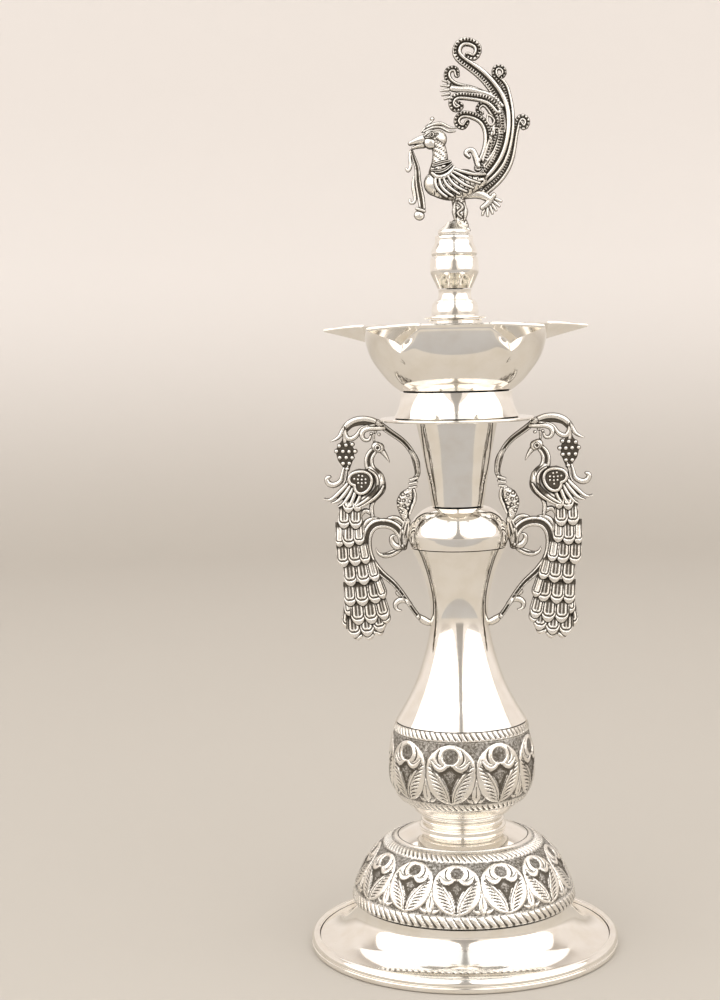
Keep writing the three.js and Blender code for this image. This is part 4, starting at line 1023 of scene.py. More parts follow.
def lay_plate(relief, half, low, high):
    """The smooth plate that a medallion is chased into"""
    up, across = fair(PLATE, 40).T
    wide = half * np.interp((relief.y - low) / (high - low), up, across, left=-1, right=-1)
    reach = 0.8 * (wide - np.abs(relief.x))
    inside = reach > 0
    relief.height[inside] = 0.5 * rounded(1 - np.clip(reach / 0.9, 0, 1))[inside]
    relief.dark[inside] = np.clip(1 - reach / 0.24, 0, 1)[inside]
    relief.reach = np.maximum(relief.reach, reach)


def lay_medallion(relief, half, low, high):
    """A leaf medallion with its ring and boss, drops either side, and a hatched ground"""
    share, radius, width = MEDALLION_RING
    lay_plate(relief, half, low, high)
    ribs = []
    for up in np.linspace(0.08, 0.6, LEAF_RIBS):
        inside, outside = (np.interp(up, *zip(*edge)) for edge in (LEAF_INSIDE, LEAF_OUTSIDE))
        end = inside + 0.72 * (outside - inside)
        ribs.append(("sink", [(-inside - 0.1, up - 0.025), (-(inside + end) / 2, up + 0.005),
                              (-end, up + 0.03)], [0.16, 0.34, 0.14], 0.35, 0))
    lay_mirrored(relief, MEDALLION + ribs + DROP, half, low, high)
    middle = low + (high - low) * share
    squash = (high - low) / (2.6 * half)
    away = np.hypot(relief.x, (relief.y - middle) / squash)
    on_ring = np.abs(away - radius) < width
    rise = 0.85 * rounded(np.abs(away - radius) / width)
    relief.height[on_ring] = np.maximum(relief.height, 0.3 + 0.5 * rise)[on_ring]
    relief.dark[on_ring] = 0
    boss = away < MEDALLION_BOSS
    hatch = 0.5 + 0.5 * np.sin(11 * relief.x + 4 * relief.y) * np.sin(11 * relief.y)
    relief.height[boss] = 0.08 + 0.12 * hatch[boss]
    relief.dark[boss] = GROUND_DARK + 0.1 + 0.45 * hatch[boss]
    ground = (relief.reach <= 0) & (relief.y > low) & (relief.y < high)
    relief.height[ground] = -0.05 + 0.12 * hatch[ground]
    relief.dark[ground] = np.maximum(relief.dark, GROUND_DARK + 0.5 * hatch)[ground]


def lay_rope(relief, half, low, high, strokes, lean, drop):
    """A raised band cut across by leaning strokes, each ending in a drop"""
    band = (relief.y >= low) & (relief.y <= high)
    height = 0.5 * (1 - np.abs(2 * (relief.y - low) / (high - low) - 1) ** 4)
    relief.height[band] = height[band] + 0.1
    relief.reach[band] = 1
    relief.dark[band] = np.abs(2 * (relief.y[band] - low) / (high - low) - 1) ** 8
    pitch = 2 * half / strokes
    for k in range(-2, strokes + 2):
        x = -half + (k + 0.5) * pitch
        path = [(x - lean / 2, high - 0.5), (x, (low + high) / 2), (x + lean / 2, low + 0.75)]
        relief.stroke("sink", path, [0.2, 0.3, drop], 0.6)


def chased_sector(name, outer, share, columns, turn, borders, pattern, strokes):
    """One sector of a chased shell, from its outer line, with its pattern and rope borders"""
    half = share * math.pi * outer[:, 0].max()
    line, places = even(outer, 2 * half / columns)
    relief = Relief(np.linspace(-half, half, columns + 1), places, line=0.3, border=0.24)
    lay_medallion(relief, half, *pattern)
    for low, high, lean, drop in borders:
        lay_rope(relief, half, low, high, strokes, lean, drop)
    hollow = relief.hollow(0.5, 0.55)
    for field in (relief.height, hollow):
        field[0] = field[-1] = (field[0] + field[-1]) / 2
    ring = lined(line, bpy.context.scene.lamp_turning.sheet, every=12)
    inner_face = ((0, 0), (0, len(ring) - len(line)))
    edge = np.minimum(1, np.minimum(places, places[-1] - places) / 0.6)
    rise = bpy.context.scene.lamp_chasing.relief * (relief.height - 0.55) * edge
    return sector(name, ring, share, columns, np.pad(rise, inner_face),
                  np.pad(hollow, inner_face), turn)


def put_chased(piece, motifs, body, node, floor=None):
    """Closes a chased shell from its sector, with its floor if it has one, and sets it down"""
    round_axis(piece, motifs, "chased_silver")
    if floor is not None:
        piece = united(piece.name, [piece, turned("floor", floor, "chased_silver")])
    set_down(piece, body, node, "chased_silver", crease=80)


# Finishes

def new_finish(name):
    finish = bpy.data.materials.new(name)
    finish.use_nodes = True
    finish.node_tree.nodes.clear()
    return Graph(finish.node_tree)


def finish_of(slot):
    """The finish of a slot, which the first operator makes"""
    finish = bpy.data.materials.get(FINISHES[slot])
    if finish is None:
        raise RuntimeError(f"make the finishes before a piece in {slot}")
    return finish


def solid_colour(colour):
    return (*colour, 1.0)


def noise(graph, place, scale, detail=2.0):
    return graph.node("ShaderNodeTexNoise", None, place, Scale=scale, Detail=detail)


def mixed(graph, share, first, second):
    return graph.node("ShaderNodeMix", {"data_type": "RGBA"}, share, first, second)


def end_finish(graph, colour, metallic, roughness, normal):
    shader = graph.node("ShaderNodeBsdfPrincipled", None, Base_Color=colour,
                        Metallic=metallic, Roughness=roughness, Normal=normal)
    graph.node("ShaderNodeOutputMaterial", None, shader)


def polished_silver(silver):
    """Spun silver: a mirror with faint lathe lines, hand-polishing waves and fine scratches"""
    graph = new_finish("Polished silver")
    place = graph.node("ShaderNodeTexCoord").out("Object")
    split = graph.node("ShaderNodeSeparateXYZ", None, place)
    x, y, z = (split.out(axis) for axis in "XYZ")
    radius = (x * x + y * y) ** 0.5
    lathe = graph.node("ShaderNodeCombineXYZ", None, radius, 0.0, z)
    lines = noise(graph, lathe, 1400.0)
    waves = noise(graph, place, 42.0, 1.0)
    haze = noise(graph, place, 160.0, 4.0)
    scratch_place = graph.node("ShaderNodeMapping", None, place, Rotation=(0.5, 0.3, 0.9),
                               Scale=(260.0, 2600.0, 700.0))
    scratches = noise(graph, scratch_place, 1.0, 1.0).between(0.66, 0.74)
    roughness = silver.polish + haze * 0.035 + lines * 0.02 + scratches * 0.05
    colour = mixed(graph, haze.between(0.35, 0.75), solid_colour(silver.bright),
                   solid_colour(silver.tarnish))
    wave_bump = graph.node("ShaderNodeBump", None, Strength=0.22, Distance=0.0006, Height=waves)
    line_bump = graph.node("ShaderNodeBump", None, Strength=0.05, Distance=0.00003,
                           Height=lines, Normal=wave_bump)
    end_finish(graph, colour, 1.0, roughness, line_bump)


def oxidised_and_shaded_silver(silver, name, roughness, start, full, mottle):
    """Worked silver: bright where it stands proud, dark oxide in its hollows, and the painted
    shade of flanks, bead rims and tail feathers
    """
    graph = new_finish(name)
    place = graph.node("ShaderNodeTexCoord").out("Object")
    hollow = graph.node("ShaderNodeAttribute", {"attribute_name": "hollow"}).out("Fac")
    grain = noise(graph, place, 1500.0, 3.0)
    patches = noise(graph, place, 130.0)
    depth = hollow + (grain - 0.5) * mottle + (patches - 0.5) * 0.2
    dark = depth.between(start, full)
    bright = mixed(graph, patches.between(0.35, 0.7), solid_colour(silver.bright),
                   solid_colour(silver.tarnish))
    colour = mixed(graph, dark, bright, solid_colour(silver.oxide))
    metallic = 1.0 - dark * 0.55
    rough = dark * 0.38 + grain * 0.12 + roughness
    bump = graph.node("ShaderNodeBump", None, Strength=0.3, Distance=0.00006, Height=grain)
    end_finish(graph, colour, metallic, rough, bump)


def turned_steel(silver):
    """Steel of the studs and bushes, with tool marks round them"""
    graph = new_finish("Turned steel")
    place = graph.node("ShaderNodeTexCoord").out("Object")
    stretched = graph.node("ShaderNodeMapping", None, place, Scale=(90.0, 90.0, 6000.0))
    marks = noise(graph, stretched, 1.0)
    stains = noise(graph, place, 220.0, 4.0)
    colour = mixed(graph, stains.between(0.4, 0.75), solid_colour(silver.steel),
                   (0.27, 0.26, 0.25, 1.0))
    bump = graph.node("ShaderNodeBump", None, Strength=0.2, Distance=0.00004, Height=marks)
    end_finish(graph, colour, 1.0, marks * 0.18 + stains * 0.12 + 0.18, bump)


# Operators

class MakeFinishes(Operator):
    """Makes the silver and steel finishes"""
    bl_idname = "lamp.make_finishes"
    bl_label = "Finishes"

    def execute(self, context):
        silver = context.scene.lamp_silver
        polished_silver(silver)
        oxidised_and_shaded_silver(silver, "Chased silver", roughness=0.16, start=0.2, full=0.9, mottle=0.9)
        oxidised_and_shaded_silver(silver, "Cast silver", silver.cast_roughness,
                        start=0.12, full=0.65, mottle=0.3)
        turned_steel(silver)
        return {"FINISHED"}


class MakeFootShells(Operator):
    """Turns the foot's rolled rim, polished skirt and ringed shoulder"""
    bl_idname = "lamp.make_foot_shells"
    bl_label = "Foot rim, skirt and shoulder"

    def execute(self, context):
        edge, rim_top = reach_of("foot_rim"), heights_of("foot_rim")[1]
        inner = edge - RIM_WIDTH
        rim = outline(
            [(inner, 0), (edge - 0.9, 0)],
            [(edge - 0.15, 0.4), (edge, 1.1), (edge - 0.05, 1.7)],
            [(edge - 0.35, 1.95), (edge - 0.3, 2.3)],
            [(edge, 2.8), (edge - 0.2, 3.8), (edge - 1.1, 4.7), (edge - 1.9, rim_top)],
            [(inner + 0.2, rim_top - 0.25), (inner, rim_top - 0.6)])
        put_turned("rolled_rim", rim, "foot", "foot_rim")

        low, high = heights_of("foot_skirt")
        out, up = part_way(SKIRT_NECK, inner - 0.3), part_way(low, high)
        skirt = outline([(out(1), low), (out(0.72), up(0.07)), (out(0.42), up(0.22)),
                         (out(0.18), up(0.45)), (out(0.02), up(0.74)), (out(0), high)], steps=40)
        put_sheet("spun_skirt", skirt, 2, "foot", "foot_skirt")

        sheet = context.scene.lamp_turning.sheet
        edge, (bottom, high) = reach_of("foot_shoulder"), heights_of("foot_shoulder")
        low = bottom + sheet
        foot = low + 2.3
        out, up = part_way(edge, NECK + 0.5), part_way(foot, high)
        rings = [[(NECK + away, up(share)) for away, share in ring] for ring in NECK_RINGS]
        shoulder = outline(
            [(edge, low), (out(0.35), low + 1.25), (out(0.7), low + 2.0), (out(0.96), foot)],
            *rings, steps=8)
        bore = NECK - 1.8
        inside = [(bore, high), (bore, foot - sheet), (edge, bottom)]
        put_turned("spun_shoulder", np.concatenate([shoulder, inside]), "foot", "foot_shoulder")
        return {"FINISHED"}


class MakeDome(Operator):
    """Chases the foot's dome with its ring of leaf medallions and its two rope borders"""
    bl_idname = "lamp.make_dome"
    bl_label = "Chased dome"

    def execute(self, context):
        settings = context.scene.lamp_chasing
        low, high = heights_of("foot_dome")
        wide, narrow = DOME_RADII
        line = np.array([(wide - 1.4, low), *domed(wide, narrow, low + 0.35, high, 1.6, 90)])
        piece = chased_sector(
            "chased_dome", line, 1 / settings.dome_motifs, DOME_COLUMNS, turn=-4,
            borders=DOME_BORDERS, pattern=DOME_PATTERN, strokes=settings.dome_strokes)
        put_chased(piece, settings.dome_motifs, "foot", "foot_dome")
        return {"FINISHED"}


class MakeKnop(Operator):
    """Chases the stem's knop with its leaf medallions and its two rope borders"""
    bl_idname = "lamp.make_knop"
    bl_label = "Chased knop"

    def execute(self, context):
        settings = context.scene.lamp_chasing
        low = heights_of("knop")[0]
        piece = chased_sector(
            "chased_knop", outline(KNOP, steps=90) + (0, low), 1 / settings.knop_motifs,
            KNOP_COLUMNS, turn=-9, borders=KNOP_BORDERS, pattern=KNOP_PATTERN,
            strokes=settings.knop_strokes)
        (wide, floor), (boss, top) = KNOP_FLOOR, KNOP_BOSS
        floor_line = outline(
            [(KNOP_BORE, low), (wide, low)], [(wide, low + floor)], [(boss, low + floor)],
            [(boss, low + top)], [(KNOP_BORE, low + top)])
        put_chased(piece, settings.knop_motifs, "stem", "knop", floor_line)
        return {"FINISHED"}


class MakeStemShells(Operator):
    """Turns the vase, the bulge above it, the funnel and the tray"""
    bl_idname = "lamp.make_stem_shells"
    bl_label = "Vase, bulge, funnel and tray"

    def execute(self, context):
        low, high = heights_of("vase")
        vase = outline([*VASE, (VASE_TOP, high - low)], steps=70) + (0, low)
        put_sheet("spun_vase", vase, 4, "stem", "vase")

        low, high = heights_of("bulge")
        dome = domed(reach_of("bulge"), 7.9, low + 3.9, high, 1.8, 40)
        bulge = np.array([*fair([(16.2, low), (16.7, low + 1.9), dome[0]], 8), *dome[1:]])
        put_sheet("spun_bulge", bulge, 4, "stem", "bulge")

        low, high = heights_of("funnel")
        out, up = part_way(8.9, 13.8), part_way(low, high)
        shares = [(0, 0), (0.15, 0.2), (0.33, 0.4), (0.53, 0.6), (0.76, 0.8), (1, 1)]
        funnel = outline([(out(wider), up(higher)) for wider, higher in shares], steps=40)
        put_sheet("spun_funnel", funnel, 4, "stem", "funnel")

        edge, (low, high) = reach_of("tray"), heights_of("tray")
        tray = outline([(4.3, low), (edge - 0.35, low)],
                       [(edge, (low + high) / 2), (edge - 0.35, high)], [(4.3, high)], steps=8)
        put_turned("flat_tray", tray, "stem", "tray")
        return {"FINISHED"}


def place_pair(piece, name):
    """A right-hand casting and its mirror, each in the place of its own node"""
    left = mirrored(piece, f"left_{name}_casting")
    piece.name = f"right_{name}_casting"
    for side, made in (("right", piece), ("left", left)):
        set_down(made, "stem", f"{side}_{name}", "cast_silver", crease=80)


class MakeScrolls(Operator):
    """Casts the handles' leaf scrolls, arms and large brackets"""
    bl_idname = "lamp.make_scrolls"
    bl_label = "Vine arms and scroll brackets"

    def execute(self, context):
        bumps = [dot(x, z, *BUD_DOT) for x, z in BUD_BUMPS]
        place_pair(carved("vine", VINE_ARM + bumps), "vine_arm")
        place_pair(carved("scroll", SCROLL_BRACKET), "scroll_bracket")
        return {"FINISHED"}


class MakePeacocks(Operator):
    """Casts the handles' peacocks, with a beaded medallion on each wing"""
    bl_idname = "lamp.make_peacocks"
    bl_label = "Handle peacocks"

    def execute(self, context):
        ring = ("round", circle(*PEACOCK_EYE, 0.75), [0.3, 0.3], 0.5, 2.1)
        bird = carved("bird", [*PEACOCK, ring, dot(*PEACOCK_EYE, *PEACOCK_PUPIL)])
        wing = [(x, side * WING_FACE, z) for side in (-1, 1) for x, z in WING_BEADS]
        crest = [(x, 0, z) for x, z in CREST_BEADS]
        place_pair(united("bird", [bird, marked("wing", wing, bead(WING_BEAD, 2)),
                                   marked("crest", crest, bead(CREST_BEAD, 2))]), "peacock")
        return {"FINISHED"}


def lay_feather(relief, x, z, half, tilt):
    """Lays one tail feather over those below it: a bright lip, a dark groove, a ridged leaf and
    painted shadow
    """
    turn = math.radians(tilt)
    away_x, away_z = relief.x - x, relief.y - z
    across = np.abs(away_x * math.cos(turn) + away_z * math.sin(turn))
    up = away_z * math.cos(turn) - away_x * math.sin(turn)
    tip = 1.4 * half
    round_end = ((across / half) ** 1.8 + np.clip((tip - up) / tip, 0, None) ** 1.8) ** (1 / 1.8)
    taper = 1 - 0.05 * np.clip((up - tip) / half, 0, 3)
    q = np.where(up < tip, round_end, across / half / taper)
    reach = np.minimum((1 - q) * half, FEATHER_LENGTH - up)
    towards_tip = np.clip((tip - up) / (tip * np.maximum(q, 0.2)), 0, 1)
    lip = 0.48 + 0.95 * towards_tip ** 1.3
    inner = reach - lip - 0.3
    leaf = bump(inner, 0.2 + 0.25 * towards_tip, 0.3)
    groove = bump(reach, lip + 0.1, 0.2)
    core = np.clip((inner - 0.5 - 0.3 * towards_tip) / 0.3, 0, 1)
    body = 2.9 - 1.3 * np.clip(up / FEATHER_LENGTH, 0, 1)
    roll = rounded(1 - np.clip(reach / (0.55 * lip), 0, 1))
    # A raised midrib down the core, also kept light there as a painted highlight
    midrib_and_highlight = bump(across, 0, 0.22)
    height = (body - 0.5 * (1 - roll) - 0.5 * groove - 0.4 * core + 0.15 * leaf
              + 0.12 * midrib_and_highlight * core)
    # Dark along the outline: partly oxide, partly painted shade on the edge as it turns away
    edge = np.clip(1 - reach / 0.14, 0, 1)
    # Painted shadow towards the root, where the tier above would shade it
    root_shadow = np.clip((up - 5.8) / 1.4, 0, 1)
    dark = np.maximum.reduce(
        [0.95 * groove, 0.62 * core * (1 - 0.6 * midrib_and_highlight), 0.7 * edge, 0.8 * root_shadow])
    # Painted shadow that this feather casts on those below, just beyond its outline, where they
    # also step down
    beside = np.clip(1 + reach / 0.4, 0, 1)
    shaded = (reach <= 0) & (beside > 0) & (relief.reach > 0) & (up < 6)
    relief.dark[shaded] = np.maximum(relief.dark, beside)[shaded]
    relief.height[shaded] -= (0.3 * beside)[shaded]
    inside = reach > 0
    relief.height[inside] = height[inside]
    relief.dark[inside] = dark[inside]
    relief.reach = np.maximum(relief.reach, reach)


def rounded_off(relief, width):
    """Lets the work fall away towards its outline, as a solid casting does"""
    inside = (relief.reach > 0).astype(float)
    cells = max(1, round(width / (relief.xs[1] - relief.xs[0])))
    share = np.clip(2 * blurred(inside, cells) - 1, 0, 1)
    relief.height *= 0.3 + 0.7 * rounded(1 - share)


class MakeTails(Operator):
    """Casts the handles' tails: tiers of ridged feathers, each over the one below it"""
    bl_idname = "lamp.make_tails"
    bl_label = "Handle tails"

    def execute(self, context):
        grain = context.scene.lamp_castings.grain
        low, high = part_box("right_tail")
        across, up = (np.arange(a / MM - TAIL_MARGIN, b / MM + TAIL_MARGIN, grain)
                      for a, b in ((low.x, high.x), (low.z, high.z)))
        relief = Relief(across, up, line=0, border=1)
        for x, z, half, tilt in FEATHERS:
            lay_feather(relief, x, z, half, tilt)
        relief.reach = np.minimum(relief.reach, high.z / MM + 0.5 - relief.y)
        rounded_off(relief, 0.75)
        place_pair(cast("tail", relief, relief.hollow(0.9, 1.2)), "tail")
        return {"FINISHED"}


class MakeGrapes(Operator):
    """Sets the bunches of grapes that hang inside the handles' scrolls"""
    bl_idname = "lamp.make_grapes"
    bl_label = "Grapes"

    def execute(self, context):
        places = [(x, side * BERRY_OUT, z) for x, z in GRAPES for side in (-1, 1)]
        bunch = marked("bunch", places, bead(BERRY, context.scene.lamp_castings.bead_facets))
        place_pair(united("grapes", [bunch, carved("stalk", STALK)]), "grapes")
        return {"FINISHED"}


class MakeBowl(Operator):
    """Presses the bowl with its wick lips, and turns its foot and the pillar inside it"""
    bl_idname = "lamp.make_bowl"
    bl_label = "Bowl"

    def execute(self, context):
        low, high = heights_of("bowl_spool")
        out, up = part_way(18.8, 21.1), part_way(low, high)
        spool = outline([(out(1), low), (out(0.66), up(0.16)), (out(0.34), up(0.38)),
                         (out(0.08), up(0.7)), (out(0), high)], steps=30)
        put_sheet("bowl_foot", spool, 3, "bowl", "bowl_spool")

        sheet = context.scene.lamp_turning.sheet
        settings = context.scene.lamp_bowl
        share = 1 / settings.lips
        lines = []
        for angle in np.linspace(-1, 1, LIP_COLUMNS + 1) * share * math.pi:
            outer = bowl_line(settings, sheet, angle)
            inner = outer - normals_of(outer) * sheet
            inner[0] = outer[0] + (0, sheet)
            lip = (outer[-1] + inner[-1]) / 2 + (outer[-1] - outer[-2]) * 0.6
            lines.append(np.concatenate([[(0, 0)], outer, [lip], inner[::-1], [(0, sheet)]]))
        lines = np.array(lines) + (0, heights_of("bowl")[0])
        piece = sector("pressed_bowl", lines, share, LIP_COLUMNS, turn=36)
        round_axis(piece, settings.lips, "polished_silver")
        set_down(piece, "bowl", "bowl", "polished_silver", crease=60)

        low, high = heights_of("bowl_pillar")
        floor = high - 12.9
        pillar = outline([(0, low), (9, low)], [(9, high - 0.4)], [(8.6, high)],
                         [(COLUMN_BORE, high)], [(COLUMN_BORE, floor)], [(0, floor)])
        put_turned("bowl_socket", pillar, "bowl", "bowl_pillar")
        return {"FINISHED"}


def bowl_line(settings, sheet, angle):
    """The outer face of the bowl at an angle from the middle of a lip, from its floor up"""
    heights, radii = fair(BOWL_WALL, 60).T[::-1]
    wide = BOWL_WALL[-1][0]
    swell, swell_height = LIP_SWELL
    offset = min(1, abs(angle) / math.asin(settings.lip_half_width / wide))
    edge = BOWL_DEPTH - sheet
    reach = settings.lip_reach + (wide + 0.4 - settings.lip_reach) * offset ** 0.75
    leave = edge - (settings.lip_depth + (0.9 - settings.lip_depth) * offset)
    tip = edge - LIP_DROOP * (1 - offset ** 0.75)
    wall = np.linspace(0, 1, 49)[1:] * leave
    out = np.linspace(0, 1, 25)[1:]
    below = np.clip((leave - wall) / swell_height, 0, 1)
    push = swell * (1 - offset ** 2) ** 2 * np.sin(math.pi * below) ** 2
    start = np.interp(leave, heights, radii)
    return np.array([
        (BOWL_WALL[0][0], 0), *zip(np.interp(wall, heights, radii) + push, wall),
        *zip(start + (reach - start) * out, leave + (tip - leave) * out ** 0.9)])


class MakeColumn(Operator):
    """Turns the finial's column and the plinth that carries its peacock"""
    bl_idname = "lamp.make_column"
    bl_label = "Finial column"

    def execute(self, context):
        low, high = heights_of("column_base")
        up = part_way(low, high)
        base = outline(
            [(COLUMN_BORE, low), (10.2, low)], [(10.3, low + 0.35), (10.1, low + 0.7)],
            [(8.3, low + 0.85), (7.85, low + 1.2)],
            [(7.9, up(0.25)), (7.75, up(0.42)), (7.3, up(0.55)), (6.5, up(0.63)), (5.7, up(0.68))],
            [(5.5, up(0.8)), (5.6, high)], [(COLUMN_BORE, high)], steps=10)
        put_turned("column_foot", base, "finial", "column_base")

        low, high = heights_of("column_knob")
        up, bore_end = part_way(low, high), low + 3.8
        knob = outline(
            [(COLUMN_BORE, low), (5.7, low)], [(6.3, up(0.08)), (7.1, up(0.17)), (7.75, up(0.25))],
            [(8.05, up(0.29)), (8.2, up(0.4)), (8.1, up(0.5)), (7.8, up(0.58)), (7.3, up(0.61))],
            [(7.7, up(0.65)), (7.65, up(0.71)), (7.1, up(0.79)), (6.5, up(0.85))],
            [(6.35, up(0.92)), (6.3, up(0.985)), (6.1, high)],
            [(0, high)], [(0, bore_end)], [(COLUMN_BORE, bore_end)], steps=12)
        put_turned("column_bead", knob, "finial", "column_knob")

        low, high = heights_of("finial_plinth")
        up = part_way(low, high)
        plinth = outline([(0, low), (5.2, low)], [(5.35, up(0.2)), (5.1, up(0.38))],
                         [(4.4, up(0.5)), (3.0, up(0.75)), (2.1, high)], [(0, high)], steps=8)
        put_turned("cast_plinth", plinth, "finial", "finial_plinth", "cast_silver")
        return {"FINISHED"}


class MakeFinialPeacock(Operator):
    """Casts the finial's peacock, with its ribbed breast"""
    bl_idname = "lamp.make_finial_peacock"
    bl_label = "Finial peacock"

    def execute(self, context):
        strokes = [
            *FINIAL_BIRD,
            *(("round", path, [0.5, 0.6, 0.4], 0.8, 3.7) for path in BREAST_RIBS),
            *(("rails", path, [0.55, 0.65, 0.55], 0.8, 2.9) for path in COLLARS),
            ("round", COLLAR_FRONT, [0.6, 0.85, 0.9, 0.85, 0.5], 1.1, 3.3),
            *(("round", path, [0.2, 0.32, 0.2], 0.5, 2.6) for path in EYELIDS),
            ("round", circle(*FINIAL_EYE, 0.62), [0.24, 0.24], 0.5, 2.7),
            dot(*FINIAL_EYE, *FINIAL_PUPIL),
        ]
        bird = carved("finial_bird", strokes, radius=0.6, depth=0.6, grain=FINE_GRAIN)
        x, z = FINIAL_KNOB
        piece = united("finial_peacock_casting",
                       [bird, marked("crest", [(x, 0, z)], bead(KNOB_BEAD, 3))])
        set_down(piece, "finial", "finial_peacock", "cast_silver", crease=80)
        return {"FINISHED"}


class MakePlumes(Operator):
    """Casts the finial's fan of curled plumes, with dotted lines along some of them"""
    bl_idname = "lamp.make_plumes"
    bl_label = "Plumes and beak vine"

    def execute(self, context):
        strokes = [(form, path, [PLUME_FULLNESS * width for width in widths], 1.3, 0.25 * (i % 3))
                   for i, (form, path, widths) in enumerate(PLUMES)]
        strokes += [("round", path, [0.6, 0.35], 0.9, 0) for path in BARBS]
        strokes += [("round", path, [0.4, 0.62, 0.5], 0.9, 0.1) for path in PLEATS]
        strokes += [("round", CUFF, [0.9, 1.1, 0.9], 1, 0.3)]
        plumes = carved("plume_fan_casting", strokes, grain=FINE_GRAIN)
        vine = carved("beak_vine_casting", BEAK_VINE)
        for piece, node in ((plumes, "plume_fan"), (vine, "beak_vine")):
            set_down(piece, "finial", node, "cast_silver", crease=80)
        return {"FINISHED"}


class MakeStuds(Operator):
    """Threads the screw studs and gives the bushes their finish"""
    bl_idname = "lamp.make_studs"
    bl_label = "Screw studs and bushes"

    def execute(self, context):
        for node in ("stem_screw", "bowl_screw", "finial_screw"):
            radius, (low, high) = reach_of(node), heights_of(node)
            rows = np.arange(low, high, THREAD_PITCH / 7)
            taper = 1 - np.clip(np.minimum(rows - low, high - rows), 0, 1)
            lines = []
            for angle in TAU * np.arange(THREAD_COLUMNS + 1) / THREAD_COLUMNS:
                phase = (rows / THREAD_PITCH - angle / TAU) % 1.0
                thread = THREAD_DEPTH * np.abs(2 * phase - 1) ** 1.2
                outer = np.stack([radius - thread - taper * 0.9, rows], axis=1)
                lines.append(np.concatenate([[(0, low)], outer, [(0, rows[-1])]]))
            piece = sector(f"{node}_stud", np.array(lines), 1, THREAD_COLUMNS)
            round_axis(piece, 1, "screw_steel")
            set_down(piece, node, node, "screw_steel", crease=50)
        for node in ("foot_bush", "tray_bush", "bowl_boss"):
            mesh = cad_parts[node].data
            mesh.materials.clear()
            mesh.materials.append(finish_of("screw_steel"))
        return {"FINISHED"}


# Stage

def camera_axes(pitch, yaw, roll):
    """The camera's right, up and backward axes from its angles in degrees"""
    pitch, yaw, roll = (math.radians(angle) for angle in (pitch, yaw, roll))
    forward = Vector((math.sin(yaw) * math.cos(pitch), math.cos(yaw) * math.cos(pitch),
                      -math.sin(pitch)))
    right = Vector((math.cos(yaw), -math.sin(yaw), 0))
    up = right.cross(forward)
    return (right * math.cos(roll) + up * math.sin(roll),
            up * math.cos(roll) - right * math.sin(roll), -forward)


def flat_card(name, corners, colour):
    """A flat card that shows only in the silver"""
    card = mesh_piece(name, corners, [list(range(len(corners)))])
    card.visible_camera = card.visible_shadow = card.visible_diffuse = False
    card.data.materials.append(matt(name, colour))
    card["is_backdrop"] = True


def matt(name, colour, higher=None):
    """A plain matt paint with a faint unevenness, and another colour higher up if there is one"""
    graph = new_finish(name)
    place = graph.node("ShaderNodeTexCoord").out("Object")
    darker = tuple(0.97 * value for value in colour)
    shade = mixed(graph, noise(graph, place, 3.0), solid_colour(colour), solid_colour(darker))
    if higher is not None:
        height = graph.node("ShaderNodeSeparateXYZ", None, place).out("Z")
        shade = mixed(graph, height.between(-0.05, 0.3), shade, solid_colour(higher))
    end_finish(graph, shade, 0.0, 0.85, None)
    return bpy.data.materials[name]


def soft_panel(name, place, aim, size, power):
    """A large soft light that shows in the silver but not to the camera"""
    data = bpy.data.lights.new(name, "AREA")
    data.shape = "RECTANGLE"
    data.size, data.size_y = size
    data.energy = power
    light = bpy.data.objects.new(name, data)
    light.location = place
    light.rotation_euler = (Vector(aim) - Vector(place)).to_track_quat("-Z", "Y").to_euler()
    light.visible_camera = False
    bpy.context.scene.collection.objects.link(light)


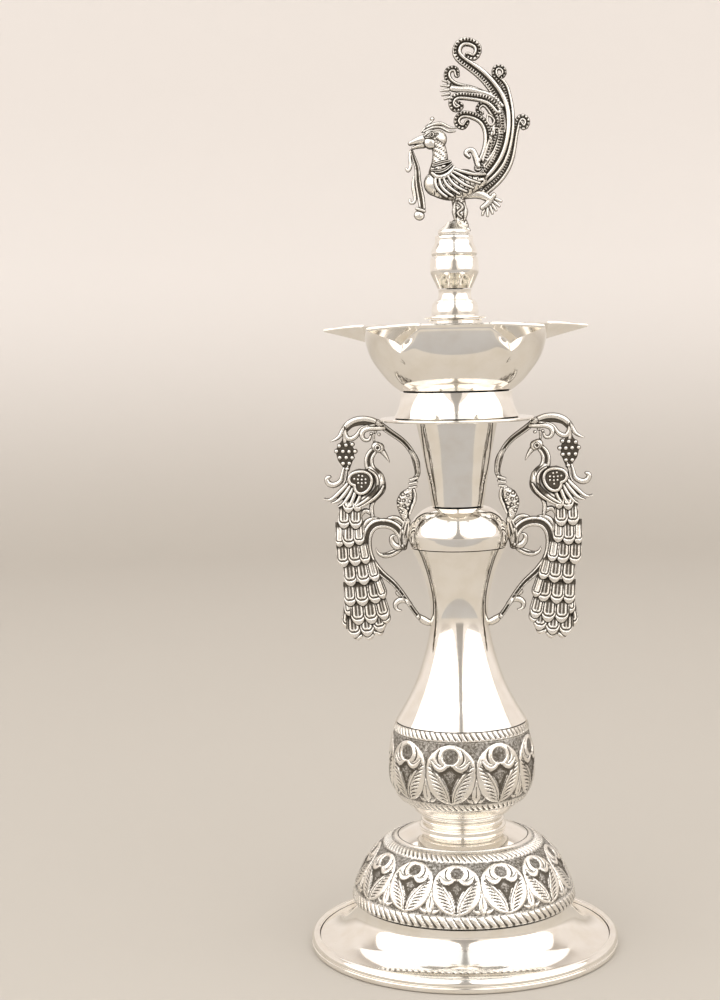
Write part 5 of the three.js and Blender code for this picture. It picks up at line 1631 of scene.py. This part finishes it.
class MakeStage(Operator):
    """Sets the camera, the pale sweep, the soft lights and the cards that the silver mirrors"""
    bl_idname = "lamp.make_stage"
    bl_label = "Stage"

    def execute(self, context):
        scene = context.scene
        stage = scene.lamp_stage
        data = bpy.data.cameras.new("Camera")
        data.sensor_width = 36
        data.lens = CAMERA_LENS
        camera = bpy.data.objects.new("Camera", data)
        axes = camera_axes(*CAMERA_ANGLES)
        camera.matrix_world = Matrix.Translation(CAMERA_PLACE) @ Matrix(axes).transposed().to_4x4()
        scene.collection.objects.link(camera)
        scene.camera = camera
        scene.view_settings.view_transform = "Standard"

        curve = [(SWEEP_RADIUS + SWEEP_BEND * (math.sin(a) - 1), SWEEP_BEND * (1 - math.cos(a)))
                 for a in np.linspace(0, math.pi / 2, 13)]
        profile = [(0, 0), (300, 0), *curve, (SWEEP_RADIUS, SWEEP_HEIGHT)]
        rows, sides = len(profile), SWEEP_SIDES
        points = [(radius * math.cos(TAU * k / sides), radius * math.sin(TAU * k / sides), height)
                  for k in range(sides) for radius, height in profile]
        faces = [(near + i, far + i, far + i + 1, near + i + 1)
                 for near, far in ((k * rows, (k + 1) % sides * rows) for k in range(sides))
                 for i in range(rows - 1)]
        sweep = mesh_piece("sweep", points, faces)
        # The ground colour is darker than the wall: painted shade that offsets the stronger light
        # on the floor
        sweep.data.materials.append(matt("Pale ground", stage.ground, stage.wall))
        sweep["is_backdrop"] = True

        world = bpy.data.worlds.new("Sky")
        world.use_nodes = True
        sky = world.node_tree.nodes["Background"]
        sky.inputs["Color"].default_value = SKY_COLOUR
        sky.inputs["Strength"].default_value = stage.sky_strength
        scene.world = world

        for side, name in ((-1, "left"), (1, "right")):
            azimuth = math.radians(side * PANEL_AZIMUTH)
            place = (math.sin(azimuth) * PANEL_DISTANCE, -math.cos(azimuth) * PANEL_DISTANCE,
                     PANEL_HEIGHT)
            soft_panel(f"{name}_panel", place, (0, 0, PANEL_AIM), PANEL_SIZE,
                       stage.panel_power)
            below = (side * OVERHEAD_ASIDE, OVERHEAD_FRONT, 0)
            soft_panel(f"{name}_overhead", (*below[:2], OVERHEAD_HEIGHT), below, OVERHEAD_SIZE,
                       stage.panel_power * OVERHEAD_SHARE)
        flat_card("front_card", FRONT_CARD, FRONT_CARD_COLOUR)
        flat_card("gap_card", GAP_CARD, GAP_CARD_COLOUR)
        return {"FINISHED"}


OPERATORS = (
    MakeFinishes, MakeFootShells, MakeDome, MakeKnop, MakeStemShells, MakeScrolls,
    MakePeacocks, MakeTails, MakeGrapes, MakeBowl, MakeColumn, MakeFinialPeacock, MakePlumes,
    MakeStuds, MakeStage,
)
SETTINGS = {
    "lamp_silver": SilverSettings, "lamp_turning": TurningSettings,
    "lamp_chasing": ChasingSettings, "lamp_bowl": BowlSettings,
    "lamp_castings": CastingSettings, "lamp_stage": StageSettings,
}


class LampPanel(Panel):
    """Lists the lamp's settings and the operators that make its pieces"""
    bl_idname = "VIEW3D_PT_peacock_oil_lamp"
    bl_label = "Peacock oil lamp"
    bl_space_type = "VIEW_3D"
    bl_region_type = "UI"
    bl_category = "Lamp"

    def draw(self, context):
        for name, group in SETTINGS.items():
            box = self.layout.box()
            for setting in group.__annotations__:
                box.prop(getattr(context.scene, name), setting)
        for operator in OPERATORS:
            self.layout.operator(operator.bl_idname)


def register():
    for group in (*SETTINGS.values(), *OPERATORS, LampPanel):
        bpy.utils.register_class(group)
    for name, group in SETTINGS.items():
        setattr(bpy.types.Scene, name, PointerProperty(type=group))


def unregister():
    for name in SETTINGS:
        delattr(bpy.types.Scene, name)
    for group in reversed((*SETTINGS.values(), *OPERATORS, LampPanel)):
        bpy.utils.unregister_class(group)


def corners(bounds):
    return [list(corner) for corner in bounds]


def main():
    register()
    for operator in OPERATORS:
        category, name = operator.bl_idname.split(".")
        getattr(getattr(bpy.ops, category), name)()
    {"cad": corners(cad_bounds), "visual": corners(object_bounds())}


if __name__ == "__main__":
    main()
